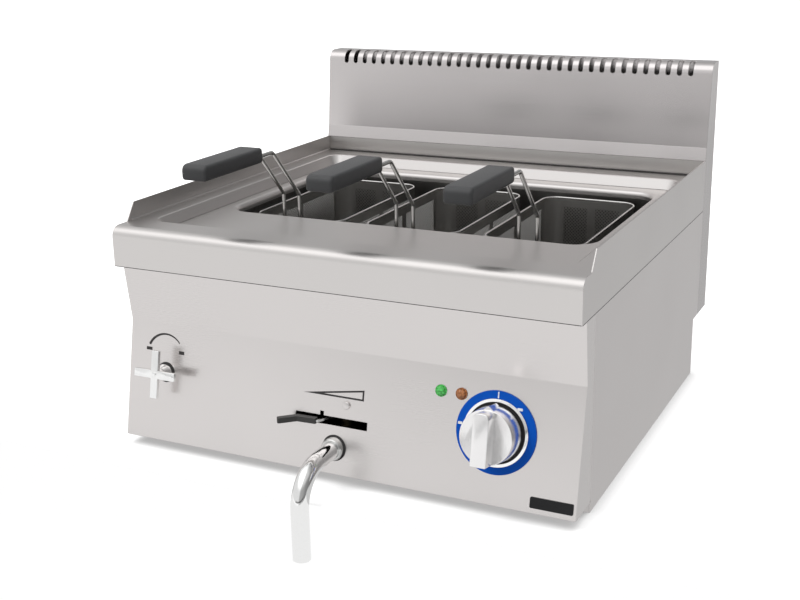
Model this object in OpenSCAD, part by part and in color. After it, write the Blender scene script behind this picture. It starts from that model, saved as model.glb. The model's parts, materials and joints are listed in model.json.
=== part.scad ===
// Tabletop electric pasta cooker with three lift-out baskets.
// Millimetres, +Z up, front faces -Y, origin on the table under the middle of the body.

/* [Body] */
// overall width
body_w = 600; // [560:10:700]
// overall depth, lip to rear panel
body_d = 600; // [590:5:680]
// height of the worktop above the table
worktop_z = 285; // [280:1:310]
// thickness of the folded steel sheet
sheet = 1.5; // [1:0.1:2]

/* [Worktop] */
// height of the upright edge along both sides
upstand_h = 22; // [14:1:40]
// height of the front lip
lip_h = 50; // [44:1:60]
// rounding of the front lip
lip_r = 13; // [6:1:18]
// depth of the pressed recess
recess_h = 14; // [12:0.5:18]
// rounding along the recess edges
recess_edge_r = 3; // [2:0.5:5.5]
// width left between the body side and the recess wall
recess_margin = 27; // [22:1:30]

/* [Well] */
// inner width of the well
well_w = 500; // [480:2:504]
// inner length of the well, front to back
well_l = 300; // [292:1:304]
// inner corner radius of the well
well_r = 30; // [20:1:40]
// height of the well floor above the table
well_floor_z = 75; // [74:0.5:80]
// room between an outer basket and the side of the well
well_side_gap = 19.5; // [12:0.5:26]

/* [Splashback] */
// height of the splashback above the worktop
splash_h = 155; // [110:5:200]
// backward lean of the splashback in degrees
splash_lean = 6; // [2:0.5:7]
// rounding along its top edge
splash_r = 15; // [8:1:18]
// number of air slots
slot_count = 35; // [21:1:35]
// width of one air slot
slot_w = 7; // [4:0.5:9]

/* [Baskets] */
// outer width of one basket
basket_w = 131; // [110:1:140]
// outer length of one basket
basket_l = 250; // [230:1:252]
// corner radius of a basket
basket_r = 22; // [12:1:30]
// length of a handle grip
grip_l = 126; // [100:1:140]
// width of a handle grip
grip_w = 34; // [30:1:38]
// thickness of a handle grip
grip_t = 19; // [15:0.5:22]
// radius of the handle wires
wire_r = 2.5; // [2:0.1:3]

/* [Controls] */
// outer radius of the coloured dial ring
dial_r = 47.5; // [44:0.5:50]
// radius of the regulator knob
knob_r = 32; // [26:0.5:34]
// length of one arm of the tap handle from its centre
tap_arm = 30; // [22:0.5:34]
// length of the drain lever from its pivot
lever_l = 82; // [74:1:90]
// outer radius of the drain tube
tube_r = 10.65; // [9:0.05:11]
// distance of the drain tube's end below the table
spout_drop = 60; // [20:1:90]

/* [Hidden] */
$fn = 64;
// small distances used for seats, running fits and cuts
seat_gap = 0.05;
run_gap = 0.06;
slide_gap = 0.3;
cut = 1;
half_w = body_w / 2;
half_d = body_d / 2;
in_w = half_w - sheet;
lip_z = worktop_z - lip_h;
floor_z = worktop_z - recess_h;
front_y = -half_d;
rear_y = half_d;
// rear duct under the splashback and the stepped rear foot
duct_d = 50;
duct_y = rear_y - duct_d;
step_z = 82;
step_d = 73.5;
foot_y = rear_y - step_d;
side_setback = 47;
side_front_y = front_y + side_setback;
rear_flange_h = 20;
// well position
well_setback = 184;
well_front_y = front_y + well_setback;
well_rear_y = well_front_y + well_l;
well_hx = well_w / 2;
well_roll = 6;
well_skirt = 4;
well_top_z = floor_z - well_roll - well_skirt;
// recess position
recess_setback = 48;
recess_rear_gap = 37;
recess_hx = half_w - recess_margin;
recess_front_y = front_y + recess_setback;
recess_rear_y = duct_y - recess_rear_gap;
recess_r = 18;
// side upstand, slanted at its front end, and the return under the lip
upstand_setback = 30;
upstand_slant = 0.7;
lip_return = 26;
// splashback: upright foot as high as the upstands, leaning face, rolled top
splash_z = worktop_z + splash_h;
splash_foot_z = worktop_z + upstand_h;
roll_z = splash_z - splash_r;
face_z = roll_z + splash_r * sin(splash_lean);
face_y = duct_y + (face_z - splash_foot_z) * tan(splash_lean);
roll_y = face_y + splash_r * cos(splash_lean);
slot_inset = 30;
slot_below = 5;
slot_behind = 8;
back_lip = 13;
flange_w = 15;
screw_r = 2;
screw_head_r = 4;
// front panel
panel_low_z = 13;
panel_proud = 4.5;
panel_low_y = front_y - panel_proud;
panel_tilt = 11.6;
panel_len = 149;
bend_y = panel_low_y + panel_len * sin(panel_tilt);
bend_z = panel_low_z + panel_len * cos(panel_tilt);
lip_overhang = 16;
panel_top_y = front_y + lip_overhang;
panel_t = sheet * cos(panel_tilt);
// knob, heights above the panel
knob_low = 7;
knob_h = 26;
knob_taper = 1.1;
knob_bar_w = 18.6;
knob_bar_in = 2.4;
knob_bar_h = 18;
knob_bar_sunk = 4;
knob_tip_h = 6;
knob_tip_w = 6;
knob_tip = 2.4;
shaft_out = 16;
// cross handle, heights above the panel
cross_low = 14;
cross_hub_h = 7.5;
cross_hub_r = 7;
cross_bar_low = 20.5;
cross_bar_h = 5;
cross_corner = 1.5;
// contactor on the base plate
contactor_inset = 130;
contactor_back = 60;
contactor_w = 45;
contactor_d = 60;
contactor_h = 36;
contactor_cap = 14;
contactor_step = 5;
// drain valve behind the panel
drain_z = 44;
lever_z = 75;
lever_t = 3;
lever_w = 7;
lever_grip_t = 6.5;
lever_arm_w = 4;
lever_hub_r = 9;
// the arm leaves by the slot, the grip turns along the panel and then outward
lever_reach = 42;
lever_run = 26.5;
lever_elbow = 57.6;
lever_neck = 1;
lever_tongue = 14;
lever_turn = 56;
lever_back_turn = 39;
lever_rest = 31;
lever_back = 30;
stem_r = 4;
stem_y = panel_low_y + (lever_z - panel_low_z) * tan(panel_tilt) + lever_back;
valve_half = 19;
valve_front_y = stem_y - valve_half;
valve_rear_y = stem_y + valve_half;
valve_r = 17;
ball_r = 13;
tube_wall = 2.65;
tube_in_r = tube_r - tube_wall;
collar_wall = 3;
collar_r = tube_r + collar_wall;
collar_gap = 0.75;
bend_r = 43;
spout_reach = 82;
spout_y = front_y - spout_reach;
drain_inset = 31;
drain_hole_y = well_front_y + drain_inset;
// lever slot in the panel, along and up the panel, with a notch in its upper edge
slot_x0 = -54.5;
slot_x1 = 41.5;
slot_s0 = 58.3;
slot_s1 = 68.4;
notch_x0 = -21.6;
notch_x1 = -16.6;
notch_h = 5;
plug_x = 12.8;
plug_s = 84.8;
plug_r = 3;
// tap
tap_inset = 55.4;
tap_x = -half_w + tap_inset;
tap_s = 88;
tap_back = 28;
tap_y = panel_low_y + tap_s * sin(panel_tilt) + tap_back * cos(panel_tilt);
tap_z = panel_low_z + tap_s * cos(panel_tilt) - tap_back * sin(panel_tilt);
tap_port = 24;
tap_hole_r = 12.5;
bonnet_r = 10.5;
tap_bar = 10.5;
bonnet_h = 6;
bonnet_cone_h = 7;
stem_in_hub = 7;
pipe_r = 6;
pipe_in_r = 5;
pipe_bend = 18;
inlet_z = 40;
inlet_r = 9;
gland_r = 10;
fill_inset = 55;
fill_drop = 24;
fill_x = -well_hx + fill_inset;
fill_z = well_top_z - fill_drop;
// dial
dial_inset = 99.2;
dial_x = half_w - dial_inset;
dial_s = 82.8;
shaft_r = 3;
bush_r = 5.8;
bezel_gap = 3;
bezel_w = 3.5;
lamp_s = 120.3;
lamp_from_dial = 69.5;
lamp_x = dial_x - lamp_from_dial;
lamp_step = 25.1;
lamp_r = 7;
lamp_lip = 1.5;
badge_inset = 28.5;
badge_s = 12.5;
badge_hx = 25;
badge_hs = 6.3;
// heaters and rack in the well
heater_rise = 13;
heater_z = well_floor_z + heater_rise;
heater_r = 4.25;
heater_half = 30;
heater_lead = 34;
heater_front_y = well_front_y - heater_lead;
heater_rear_gap = 90;
heater_rear_y = well_rear_y - heater_rear_gap;
rack_rise = 33;
rack_z = well_floor_z + rack_rise;
rack_side_gap = 6;
rack_end_gap = 8;
rack_hole_r = 7;
rack_step_x = 40;
rack_step_y = 48;
// baskets, spread over the width of the well
basket_pitch = (well_w - basket_w) / 2 - well_side_gap;
basket_wall = 1.2;
basket_front_gap = 26;
basket_front_y = well_front_y + basket_front_gap;
basket_z = rack_z + slide_gap;
rim_r = 1.3;
rim_drop = 11.5;
rim_z = floor_z - rim_drop;
// handle wires in side view: upright, leaning forward, then level into the grip
wire_half = 11.7;
wire_gap = 2.3;
wire_y = basket_front_y - rim_r - wire_r - wire_gap;
wire_foot = 34;
wire_low_z = rim_z - wire_foot;
wire_knee = 10;
wire_knee_z = worktop_z + wire_knee;
wire_run = 61;
wire_elbow_y = wire_y - wire_run;
wire_in = 40;
grip_rise = 78.5;
grip_z = worktop_z + grip_rise;
grip_setback = 90;
grip_rear_y = wire_y - grip_setback;
grip_corner = 6;
grip_edge = 3;
wire_level_z = grip_z - 2;
wire_rise = wire_level_z - wire_knee_z;
wire_angle = atan2(wire_run, wire_rise);
wire_slope = sqrt(wire_rise * wire_rise + wire_run * wire_run);

// which node is drawn

// rectangle with round corners, given by its sides
module rounded(x0, x1, y0, y1, r) {
  translate([x0 + r, y0]) square([x1 - x0 - 2 * r, y1 - y0]);
  translate([x0, y0 + r]) square([x1 - x0, y1 - y0 - 2 * r]);
  for (x = [x0 + r, x1 - r], y = [y0 + r, y1 - r]) translate([x, y]) circle(r);
}

// draws a side-view outline as a slab from x0 over a width
module side_slab(x0, wide) {
  translate([x0, 0, 0]) rotate([90, 0, 90]) linear_extrude(wide) children();
}

// carries a section round a rounded rectangle; the section's x counts from the corner centre
module sweep_round(hx, y0, y1, r) {
  lx = 2 * (hx - r);
  ly = y1 - y0 - 2 * r;
  for (m = [0, 1]) mirror([m, 0, 0])
    translate([hx - r, y1 - r, 0]) rotate([90, 0, 0]) linear_extrude(ly) children();
  translate([-hx + r, y1 - r, 0]) rotate([0, 0, 90]) rotate([90, 0, 0]) linear_extrude(lx) children();
  translate([hx - r, y0 + r, 0]) rotate([0, 0, -90]) rotate([90, 0, 0]) linear_extrude(lx) children();
  translate([hx - r, y1 - r, 0]) rotate_extrude(angle = 90) children();
  translate([-hx + r, y1 - r, 0]) rotate([0, 0, 90]) rotate_extrude(angle = 90) children();
  translate([-hx + r, y0 + r, 0]) rotate([0, 0, 180]) rotate_extrude(angle = 90) children();
  translate([hx - r, y0 + r, 0]) rotate([0, 0, 270]) rotate_extrude(angle = 90) children();
}

// quarter of a ring, its corner at the ring centre; qx and qy choose the quarter
module quarter(r_out, r_in, qx, qy) {
  intersection() {
    difference() {
      circle(r_out);
      circle(r_in);
    }
    translate([qx < 0 ? -r_out : 0, qy < 0 ? -r_out : 0]) square(r_out);
  }
}

// places things on the lower front panel: x across, s up the panel, z outward
module on_panel(x, s) {
  translate([0, panel_low_y, panel_low_z]) rotate([90 - panel_tilt, 0, 0]) translate([x, s, 0]) children();
}

// rod along +Z, and a rod along -Y
module tube(len, r_out, r_in) {
  difference() {
    cylinder(h = len, r = r_out);
    translate([0, 0, -cut]) cylinder(h = len + 2 * cut, r = r_in);
  }
}

module tube_forward(len, r_out, r_in) {
  rotate([90, 0, 0]) tube(len, r_out, r_in);
}

// bent tube round +Z, starting on +X and turning through an angle
module elbow(bend, angle, r_out, r_in) {
  rotate_extrude(angle = angle) translate([bend, 0]) difference() {
    circle(r_out);
    if (r_in > 0) circle(r_in);
  }
}

// flat bottom with an upturned front edge that carries the front panel
module base_plate() {
  color("silver") {
    translate([-in_w, side_front_y, 0]) cube([2 * in_w, foot_y - sheet - side_front_y, sheet]);
    translate([-in_w, side_front_y, 0]) cube([2 * in_w, sheet, panel_low_z]);
  }
}

module side_outline() {
  polygon([
    [side_front_y, 0], [foot_y, 0], [foot_y, step_z], [duct_y, step_z],
    [duct_y, lip_z], [side_front_y, lip_z]
  ]);
}

module side_panel_left() {
  color("silver") side_slab(-half_w, sheet) side_outline();
}

module side_panel_right() {
  color("silver") side_slab(in_w, sheet) side_outline();
}

// sheet with a bend across it, cheeks at both ends and a return along the bottom
module front_panel() {
  low = [panel_low_y, panel_low_z];
  bend = [bend_y, bend_z];
  top = [panel_top_y, lip_z];
  t = [sheet, 0];
  color("silver") difference() {
    union() {
      side_slab(-half_w, body_w) polygon([low, bend, top, top + t, bend + t, low + t]);
      for (x = [-half_w, in_w]) side_slab(x, sheet)
        polygon([low, bend, top, [side_front_y, lip_z], [side_front_y, panel_low_z]]);
      translate([-half_w, panel_low_y + sheet / 2, panel_low_z])
        cube([body_w, side_front_y + sheet - panel_low_y - sheet / 2, sheet]);
    }
    on_panel(tap_x, tap_s) translate([0, 0, -10]) cylinder(h = 20, r = tap_hole_r);
    on_panel(dial_x, dial_s) translate([0, 0, -10]) cylinder(h = 20, r = bush_r + 0.2);
    for (k = [0, 1]) on_panel(lamp_x + k * lamp_step, lamp_s)
      translate([0, 0, -10]) cylinder(h = 20, r = lamp_r - lamp_lip + 0.1);
    on_panel(plug_x, plug_s) translate([0, 0, -10]) cylinder(h = 20, r = plug_r + seat_gap);
    translate([0, panel_low_y + 40, drain_z]) rotate([90, 0, 0])
      cylinder(h = 60, r = collar_r + collar_gap);
    on_panel(0, 0) translate([0, 0, -10]) linear_extrude(20) polygon([
      [slot_x0, slot_s0], [slot_x1, slot_s0], [slot_x1, slot_s1], [notch_x1, slot_s1],
      [notch_x1, slot_s1 + notch_h], [notch_x0, slot_s1 + notch_h], [notch_x0, slot_s1], [slot_x0, slot_s1]
    ]);
  }
}

// section of the recess wall: rolled upper edge, wall, rounded lower corner
module recess_section() {
  e = recess_edge_r;
  translate([recess_r + e, worktop_z - e]) quarter(e, e - sheet, -1, 1);
  translate([recess_r, floor_z + e]) square([sheet, recess_h - 2 * e]);
  translate([recess_r - e, floor_z + e]) quarter(e + sheet, e, 1, -1);
}

// section of the well mouth: rolled edge and a short skirt
module mouth_section() {
  e = well_roll;
  translate([well_r + e, floor_z - e]) quarter(e, e - sheet, -1, 1);
  translate([well_r, well_top_z]) square([sheet, floor_z - e - well_top_z]);
}

module worktop_side() {
  translate([front_y + lip_r, worktop_z - lip_r]) circle(lip_r);
  polygon([
    [front_y, lip_z], [duct_y, lip_z], [duct_y, worktop_z], [front_y + lip_r, worktop_z],
    [front_y + lip_r, worktop_z - lip_r], [front_y, worktop_z - lip_r]
  ]);
  polygon([
    [front_y + upstand_setback, worktop_z], [duct_y, worktop_z], [duct_y, worktop_z + upstand_h],
    [front_y + upstand_setback + upstand_h * upstand_slant, worktop_z + upstand_h]
  ]);
}

// pressed top: lip, side upstands, recess and the rolled mouth of the well
module worktop() {
  e = recess_edge_r;
  m = well_roll;
  color("gainsboro") {
    translate([0, 0, worktop_z - sheet]) linear_extrude(sheet) difference() {
      translate([-half_w, front_y + lip_r]) square([body_w, duct_y - front_y - lip_r]);
      rounded(-recess_hx - e, recess_hx + e, recess_front_y - e, recess_rear_y + e, recess_r + e);
    }
    sweep_round(recess_hx, recess_front_y, recess_rear_y, recess_r) recess_section();
    translate([0, 0, floor_z - sheet]) linear_extrude(sheet) difference() {
      rounded(-recess_hx + e, recess_hx - e, recess_front_y + e, recess_rear_y - e, recess_r - e);
      rounded(-well_hx - m, well_hx + m, well_front_y - m, well_rear_y + m, well_r + m);
    }
    sweep_round(well_hx, well_front_y, well_rear_y, well_r) mouth_section();
    side_slab(-half_w, body_w) {
      translate([front_y + lip_r, worktop_z - lip_r]) quarter(lip_r, lip_r - sheet, -1, 1);
      translate([front_y, lip_z]) square([sheet, lip_h - lip_r]);
      translate([front_y, lip_z]) square([lip_return, sheet]);
      translate([duct_y - sheet, worktop_z - rear_flange_h]) square([sheet, rear_flange_h]);
    }
    for (x = [-half_w, in_w]) side_slab(x, sheet) worktop_side();
  }
}

// filled outline of the splashback, taken in by an amount all round
module splash_outline(in, low) {
  translate([roll_y, roll_z]) circle(splash_r - in);
  translate([roll_y, low]) square([rear_y - in - roll_y, splash_z - in - low]);
  polygon([
    [duct_y + in, low], [duct_y + in, splash_foot_z],
    [face_y + in * cos(splash_lean), face_z - in * sin(splash_lean)], [roll_y, roll_z], [roll_y, low]
  ]);
}

// upright foot, leaning face with a rolled, slotted top, open below, and cheeks down to the step
module splashback() {
  low_z = worktop_z - rear_flange_h;
  color("silver") difference() {
    union() {
      side_slab(-half_w, body_w) difference() {
        splash_outline(0, low_z);
        splash_outline(sheet, low_z - cut);
        translate([rear_y - sheet - cut, low_z - cut])
          square([sheet + 2 * cut, splash_z - back_lip - low_z + cut]);
      }
      for (x = [-half_w, in_w]) side_slab(x, sheet) {
        splash_outline(0, low_z);
        translate([duct_y, step_z]) square([duct_d, worktop_z - step_z]);
      }
      for (x = [-in_w, in_w - flange_w]) translate([x, rear_y - 2 * sheet, step_z + 12])
        cube([flange_w, sheet, splash_z - step_z - 30]);
    }
    air_slots();
    screw_places() rotate([90, 0, 0]) translate([0, 0, -cut]) cylinder(h = 10, r = screw_r + 0.1);
  }
}

// row of slots over the rolled top, each round at its lower end
module air_slots() {
  pitch = (body_w - 2 * slot_inset) / (slot_count - 1);
  deep = roll_y + slot_behind - duct_y + cut;
  for (i = [0 : slot_count - 1])
    translate([-half_w + slot_inset + i * pitch, duct_y - cut, face_z - slot_below + slot_w / 2]) {
      rotate([-90, 0, 0]) cylinder(h = deep, r = slot_w / 2);
      translate([-slot_w / 2, 0, 0]) cube([slot_w, deep, splash_h]);
    }
}

// six places for the screws of the rear panel
module screw_places() {
  z0 = step_z + 30;
  z1 = splash_z - 50;
  x1 = in_w - flange_w / 2;
  for (x = [-x1, x1], z = [z0, (z0 + z1) / 2, z1]) translate([x, rear_y, z]) children();
}

module rear_panel() {
  color("silver") difference() {
    translate([-in_w, rear_y - sheet, step_z]) cube([2 * in_w, sheet, splash_z - back_lip - step_z]);
    screw_places() rotate([90, 0, 0]) translate([0, 0, -cut]) cylinder(h = 10, r = screw_r + 0.1);
  }
}

module rear_screws() {
  color("gray") screw_places() {
    rotate([-90, 0, 0]) cylinder(h = 2, r = screw_head_r);
    rotate([90, 0, 0]) cylinder(h = 8, r = screw_r);
  }
}

// lower rear wall with the step above it
module rear_lower_panel() {
  color("silver") difference() {
    union() {
      translate([-in_w, foot_y - sheet, 0]) cube([2 * in_w, sheet, step_z + sheet]);
      translate([-in_w, foot_y - sheet, step_z])
        cube([2 * in_w, rear_y - sheet - foot_y + sheet, sheet]);
    }
    for (side = [[tap_x, inlet_r], [-tap_x, gland_r]]) translate([side[0], foot_y + cut, inlet_z])
      rotate([90, 0, 0]) cylinder(h = sheet + 2 * cut, r = side[1] + seat_gap);
  }
}

// open-topped tank hung under the worktop
module well() {
  color("lightgray") difference() {
    translate([0, 0, well_floor_z - sheet]) linear_extrude(well_top_z - well_floor_z + sheet)
      rounded(-well_hx - sheet, well_hx + sheet, well_front_y - sheet, well_rear_y + sheet, well_r + sheet);
    translate([0, 0, well_floor_z]) linear_extrude(well_top_z - well_floor_z + cut)
      rounded(-well_hx, well_hx, well_front_y, well_rear_y, well_r);
    for (k = [-1, 0, 1], m = [-1, 1])
      translate([k * basket_pitch + m * heater_half, well_front_y + cut, heater_z]) rotate([90, 0, 0])
        cylinder(h = sheet + 2 * cut, r = heater_r + seat_gap);
    translate([0, drain_hole_y, well_floor_z - sheet - cut]) cylinder(h = sheet + 2 * cut, r = tube_in_r);
    translate([fill_x, well_front_y + cut, fill_z]) rotate([90, 0, 0])
      cylinder(h = sheet + 2 * cut, r = pipe_r + seat_gap);
  }
}

// pierced plate on two folded legs, over the heaters
module rack() {
  x1 = well_hx - rack_side_gap;
  y0 = well_front_y + rack_end_gap;
  y1 = well_rear_y - rack_end_gap;
  color("lightgray") {
    difference() {
      translate([0, 0, rack_z - sheet]) linear_extrude(sheet)
        rounded(-x1, x1, y0, y1, well_r - rack_side_gap);
      for (i = [-5 : 5], j = [-2 : 2])
        translate([i * rack_step_x, (y0 + y1) / 2 + j * rack_step_y, rack_z - sheet - cut])
          cylinder(h = sheet + 2 * cut, r = rack_hole_r);
    }
    for (m = [0, 1]) mirror([m, 0, 0])
      translate([x1 - sheet, y0 + 40, well_floor_z]) cube([sheet, y1 - y0 - 80, rack_z - well_floor_z]);
  }
}

// one hairpin heater under each basket
module heaters() {
  color("dimgray") for (k = [-1, 0, 1]) translate([k * basket_pitch, 0, heater_z]) {
    for (m = [-1, 1]) translate([m * heater_half, heater_rear_y, 0]) rotate([90, 0, 0]) {
      cylinder(h = heater_rear_y - heater_front_y, r = heater_r);
      cylinder(h = heater_rear_y - heater_front_y + 12, r = 2);
    }
    translate([0, heater_rear_y, 0]) elbow(heater_half, 180, heater_r, 0);
  }
}

module heater_flanges() {
  y = well_front_y - sheet;
  color("goldenrod") for (k = [-1, 0, 1]) translate([k * basket_pitch, y, heater_z]) difference() {
    union() {
      translate([-heater_half - 16, -3, -12]) cube([2 * heater_half + 32, 3, 24]);
      for (m = [-1, 1]) translate([m * heater_half, 0, 0]) rotate([90, 0, 0])
        cylinder(h = 10, r = 9, $fn = 6);
    }
    for (m = [-1, 1]) translate([m * heater_half, cut, 0]) rotate([90, 0, 0])
      cylinder(h = 20, r = heater_r + seat_gap);
  }
}

// drain from the well floor, turning forward to the valve
module drain_pipe() {
  bend = 22;
  top = well_floor_z - sheet;
  color("silver") {
    difference() {
      translate([0, drain_hole_y, top - 3]) cylinder(h = 3, r = tube_r + 7);
      translate([0, drain_hole_y, top - 3 - cut]) cylinder(h = 3 + 2 * cut, r = tube_in_r);
    }
    translate([0, drain_hole_y, drain_z + bend]) tube(top - drain_z - bend, tube_r, tube_in_r);
    translate([0, drain_hole_y - bend, drain_z + bend]) rotate([90, 0, 90]) rotate([0, 0, 270])
      elbow(bend, 90, tube_r, tube_in_r);
    translate([0, drain_hole_y - bend, drain_z])
      tube_forward(drain_hole_y - bend - valve_rear_y, tube_r, tube_in_r);
  }
}

module valve_body() {
  color("goldenrod") translate([0, stem_y, drain_z]) difference() {
    union() {
      rotate([90, 0, 0]) cylinder(h = 2 * valve_half, r = valve_r, center = true);
      cylinder(h = lever_z - drain_z - 6, r = 8);
    }
    rotate([90, 0, 0]) translate([0, 0, -30]) cylinder(h = 60, r = tube_in_r);
    sphere(ball_r + run_gap);
    cylinder(h = 40, r = stem_r + run_gap);
  }
}

// ball and stem turned by the lever
module valve_stem() {
  color("silver") translate([0, stem_y, drain_z]) difference() {
    union() {
      sphere(ball_r);
      cylinder(h = lever_z + 4 - drain_z, r = stem_r);
    }
    rotate([0, 90, 0]) translate([0, 0, -20]) cylinder(h = 40, r = tube_in_r);
  }
}

module on_lever() {
  translate([0, stem_y, lever_z]) rotate([0, 0, -90 - lever_rest]) children();
}

module lever_bar(x0, x1, w, t) {
  translate([x0, -w / 2, -t / 2]) cube([x1 - x0, w, t]);
}

// frame of the grip, at the end of the arm
module on_lever_grip() {
  on_lever() translate([lever_reach, 0, 0]) rotate([0, 0, -lever_turn]) children();
}

module lever_arm() {
  color("silver") {
    on_lever() difference() {
      union() {
        cylinder(h = lever_t, r = lever_hub_r, center = true);
        lever_bar(0, lever_reach, lever_arm_w, lever_t);
      }
      cylinder(h = 20, r = stem_r + seat_gap, center = true);
    }
    on_lever_grip() {
      cylinder(h = lever_t, r = lever_arm_w / 2, center = true);
      lever_bar(0, lever_tongue, lever_arm_w, lever_t);
    }
  }
}

module lever_grip() {
  g = seat_gap;
  hw = lever_w / 2;
  t = lever_grip_t;
  color("dimgray") on_lever_grip() difference() {
    union() {
      lever_bar(lever_neck, lever_run, lever_w, t);
      translate([lever_run, 0, 0]) {
        cylinder(h = t, r = hw, center = true);
        rotate([0, 0, lever_back_turn]) translate([0, 0, -t / 2]) linear_extrude(t)
          rounded(-hw, lever_l - lever_elbow, -hw, hw, lever_w / 3);
      }
    }
    lever_bar(lever_neck - cut, lever_tongue + g, lever_arm_w + 2 * g, lever_t + 2 * g);
  }
}

module drain_collar() {
  color("lightgray") translate([0, panel_low_y + 22, drain_z]) difference() {
    union() {
      rotate([90, 0, 0]) cylinder(h = 22.5, r = collar_r);
      translate([0, -22.5, 0]) rotate([90, 0, 0]) cylinder(h = 1.5, r1 = collar_r, r2 = collar_r - 1.2);
    }
    translate([0, cut, 0]) rotate([90, 0, 0]) cylinder(h = 30, r = tube_r + seat_gap);
  }
}

// outlet tube, forward out of the panel and turned down past the table edge
module drain_spout() {
  y1 = spout_y + bend_r;
  z1 = drain_z - bend_r;
  color("lightgray") {
    translate([0, y1, drain_z]) rotate([-90, 0, 0]) tube(valve_front_y - y1, tube_r, tube_in_r);
    translate([0, y1, z1]) rotate([90, 0, 90]) rotate([0, 0, 90]) elbow(bend_r, 90, tube_r, tube_in_r);
    translate([0, spout_y, -spout_drop]) tube(z1 + spout_drop, tube_r, tube_in_r);
  }
}

// water tap behind the panel, with ports below and above
module tap_body() {
  color("goldenrod") difference() {
    union() {
      on_panel(tap_x, tap_s) translate([0, 0, -tap_back - 12])
        cylinder(h = tap_back + 12 - panel_t - 0.5, r = 15);
      translate([tap_x, tap_y, tap_z - tap_port]) cylinder(h = 2 * tap_port, r = 10);
    }
    on_panel(tap_x, tap_s) translate([0, 0, -tap_back]) cylinder(h = 60, r = stem_r + run_gap);
    translate([tap_x, tap_y, tap_z - 30]) cylinder(h = 60, r = pipe_in_r - 2);
  }
}

module tap_bonnet() {
  color("lightgray") on_panel(tap_x, tap_s) difference() {
    union() {
      translate([0, 0, -panel_t - 0.5]) cylinder(h = bonnet_h + panel_t + 0.5, r = bonnet_r);
      translate([0, 0, bonnet_h]) cylinder(h = bonnet_cone_h, r1 = bonnet_r, r2 = cross_hub_r);
    }
    translate([0, 0, -10]) cylinder(h = 60, r = stem_r + run_gap);
  }
}

module tap_stem() {
  color("silver") on_panel(tap_x, tap_s) translate([0, 0, -tap_back + 8])
    cylinder(h = tap_back - 8 + cross_low + stem_in_hub, r = stem_r);
}

module tap_cross() {
  hb = tap_bar / 2;
  color("white") on_panel(tap_x, tap_s) difference() {
    union() {
      translate([0, 0, cross_low]) cylinder(h = cross_hub_h, r = cross_hub_r);
      for (a = [0, 90]) rotate([0, 0, a]) intersection() {
        translate([-tap_arm, -hb, cross_bar_low]) cube([2 * tap_arm, tap_bar, cross_bar_h]);
        translate([0, 0, cross_low]) linear_extrude(20) rounded(-tap_arm, tap_arm, -hb, hb, cross_corner);
      }
    }
    translate([0, 0, cross_low - 10]) cylinder(h = 10 + stem_in_hub + seat_gap, r = stem_r + seat_gap);
  }
}

// supply from the inlet, under the well, to the foot of the tap
module supply_pipe() {
  y0 = foot_y - sheet - 12;
  color("peru") {
    translate([tap_x, y0, inlet_z]) tube_forward(y0 - tap_y - pipe_bend, pipe_r, pipe_in_r);
    translate([tap_x, tap_y + pipe_bend, inlet_z + pipe_bend]) rotate([90, 0, 90]) rotate([0, 0, 180])
      elbow(pipe_bend, 90, pipe_r, pipe_in_r);
    translate([tap_x, tap_y, inlet_z + pipe_bend])
      tube(tap_z - tap_port - inlet_z - pipe_bend, pipe_r, pipe_in_r);
  }
}

// from the top of the tap to the front wall of the well
module fill_pipe() {
  b = pipe_bend;
  color("peru") {
    translate([tap_x, tap_y, tap_z + tap_port]) tube(fill_z - b - tap_z - tap_port, pipe_r, pipe_in_r);
    translate([tap_x + b, tap_y, fill_z - b]) rotate([90, 0, 0]) rotate([0, 0, 90])
      elbow(b, 90, pipe_r, pipe_in_r);
    translate([tap_x + b, tap_y, fill_z]) rotate([0, 90, 0]) tube(fill_x - tap_x - 2 * b, pipe_r, pipe_in_r);
    translate([fill_x - b, tap_y + b, fill_z]) rotate([0, 0, -90]) elbow(b, 90, pipe_r, pipe_in_r);
    translate([fill_x, well_front_y + 8, fill_z])
      tube_forward(well_front_y + 8 - tap_y - b, pipe_r, pipe_in_r);
  }
}

module inlet_nipple() {
  color("goldenrod") translate([tap_x, foot_y, inlet_z]) difference() {
    union() {
      rotate([-90, 0, 0]) cylinder(h = 3, r = 15);
      rotate([-90, 0, 0]) cylinder(h = 25, r = 10.5);
      rotate([90, 0, 0]) cylinder(h = sheet + 12, r = inlet_r);
    }
    rotate([90, 0, 0]) translate([0, 0, -30]) cylinder(h = 60, r = pipe_in_r);
  }
}

module cable_gland() {
  color("dimgray") translate([-tap_x, foot_y, inlet_z]) difference() {
    union() {
      rotate([-90, 0, 0]) cylinder(h = 9, r = 15, $fn = 6);
      rotate([-90, 0, 0]) cylinder(h = 24, r = 11);
      rotate([90, 0, 0]) cylinder(h = sheet, r = gland_r);
      translate([0, -sheet, 0]) rotate([90, 0, 0]) cylinder(h = 6, r = 15, $fn = 6);
    }
    rotate([90, 0, 0]) translate([0, 0, -30]) cylinder(h = 60, r = 6);
  }
}

module dial_ring() {
  color("royalblue") on_panel(dial_x, dial_s) tube(1.5, dial_r, knob_r + bezel_gap + bezel_w);
}

module dial_bezel() {
  r_in = knob_r + bezel_gap;
  color("lightgray") on_panel(dial_x, dial_s) tube(3, r_in + bezel_w - seat_gap, r_in);
}

module regulator() {
  color("dimgray") on_panel(dial_x, dial_s) difference() {
    union() {
      translate([-23, -23, -panel_t - 34]) cube([46, 46, 34]);
      translate([0, 0, -panel_t - 2]) cylinder(h = panel_t + 2.5, r = bush_r);
    }
    translate([0, 0, -20]) cylinder(h = 40, r = shaft_r + run_gap);
  }
}

// shaft with the knob's skirt, pointer and grip bar above
module knob_shaft() {
  color("gray") on_panel(dial_x, dial_s) translate([0, 0, -19]) cylinder(h = 19 + shaft_out, r = shaft_r);
}

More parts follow.
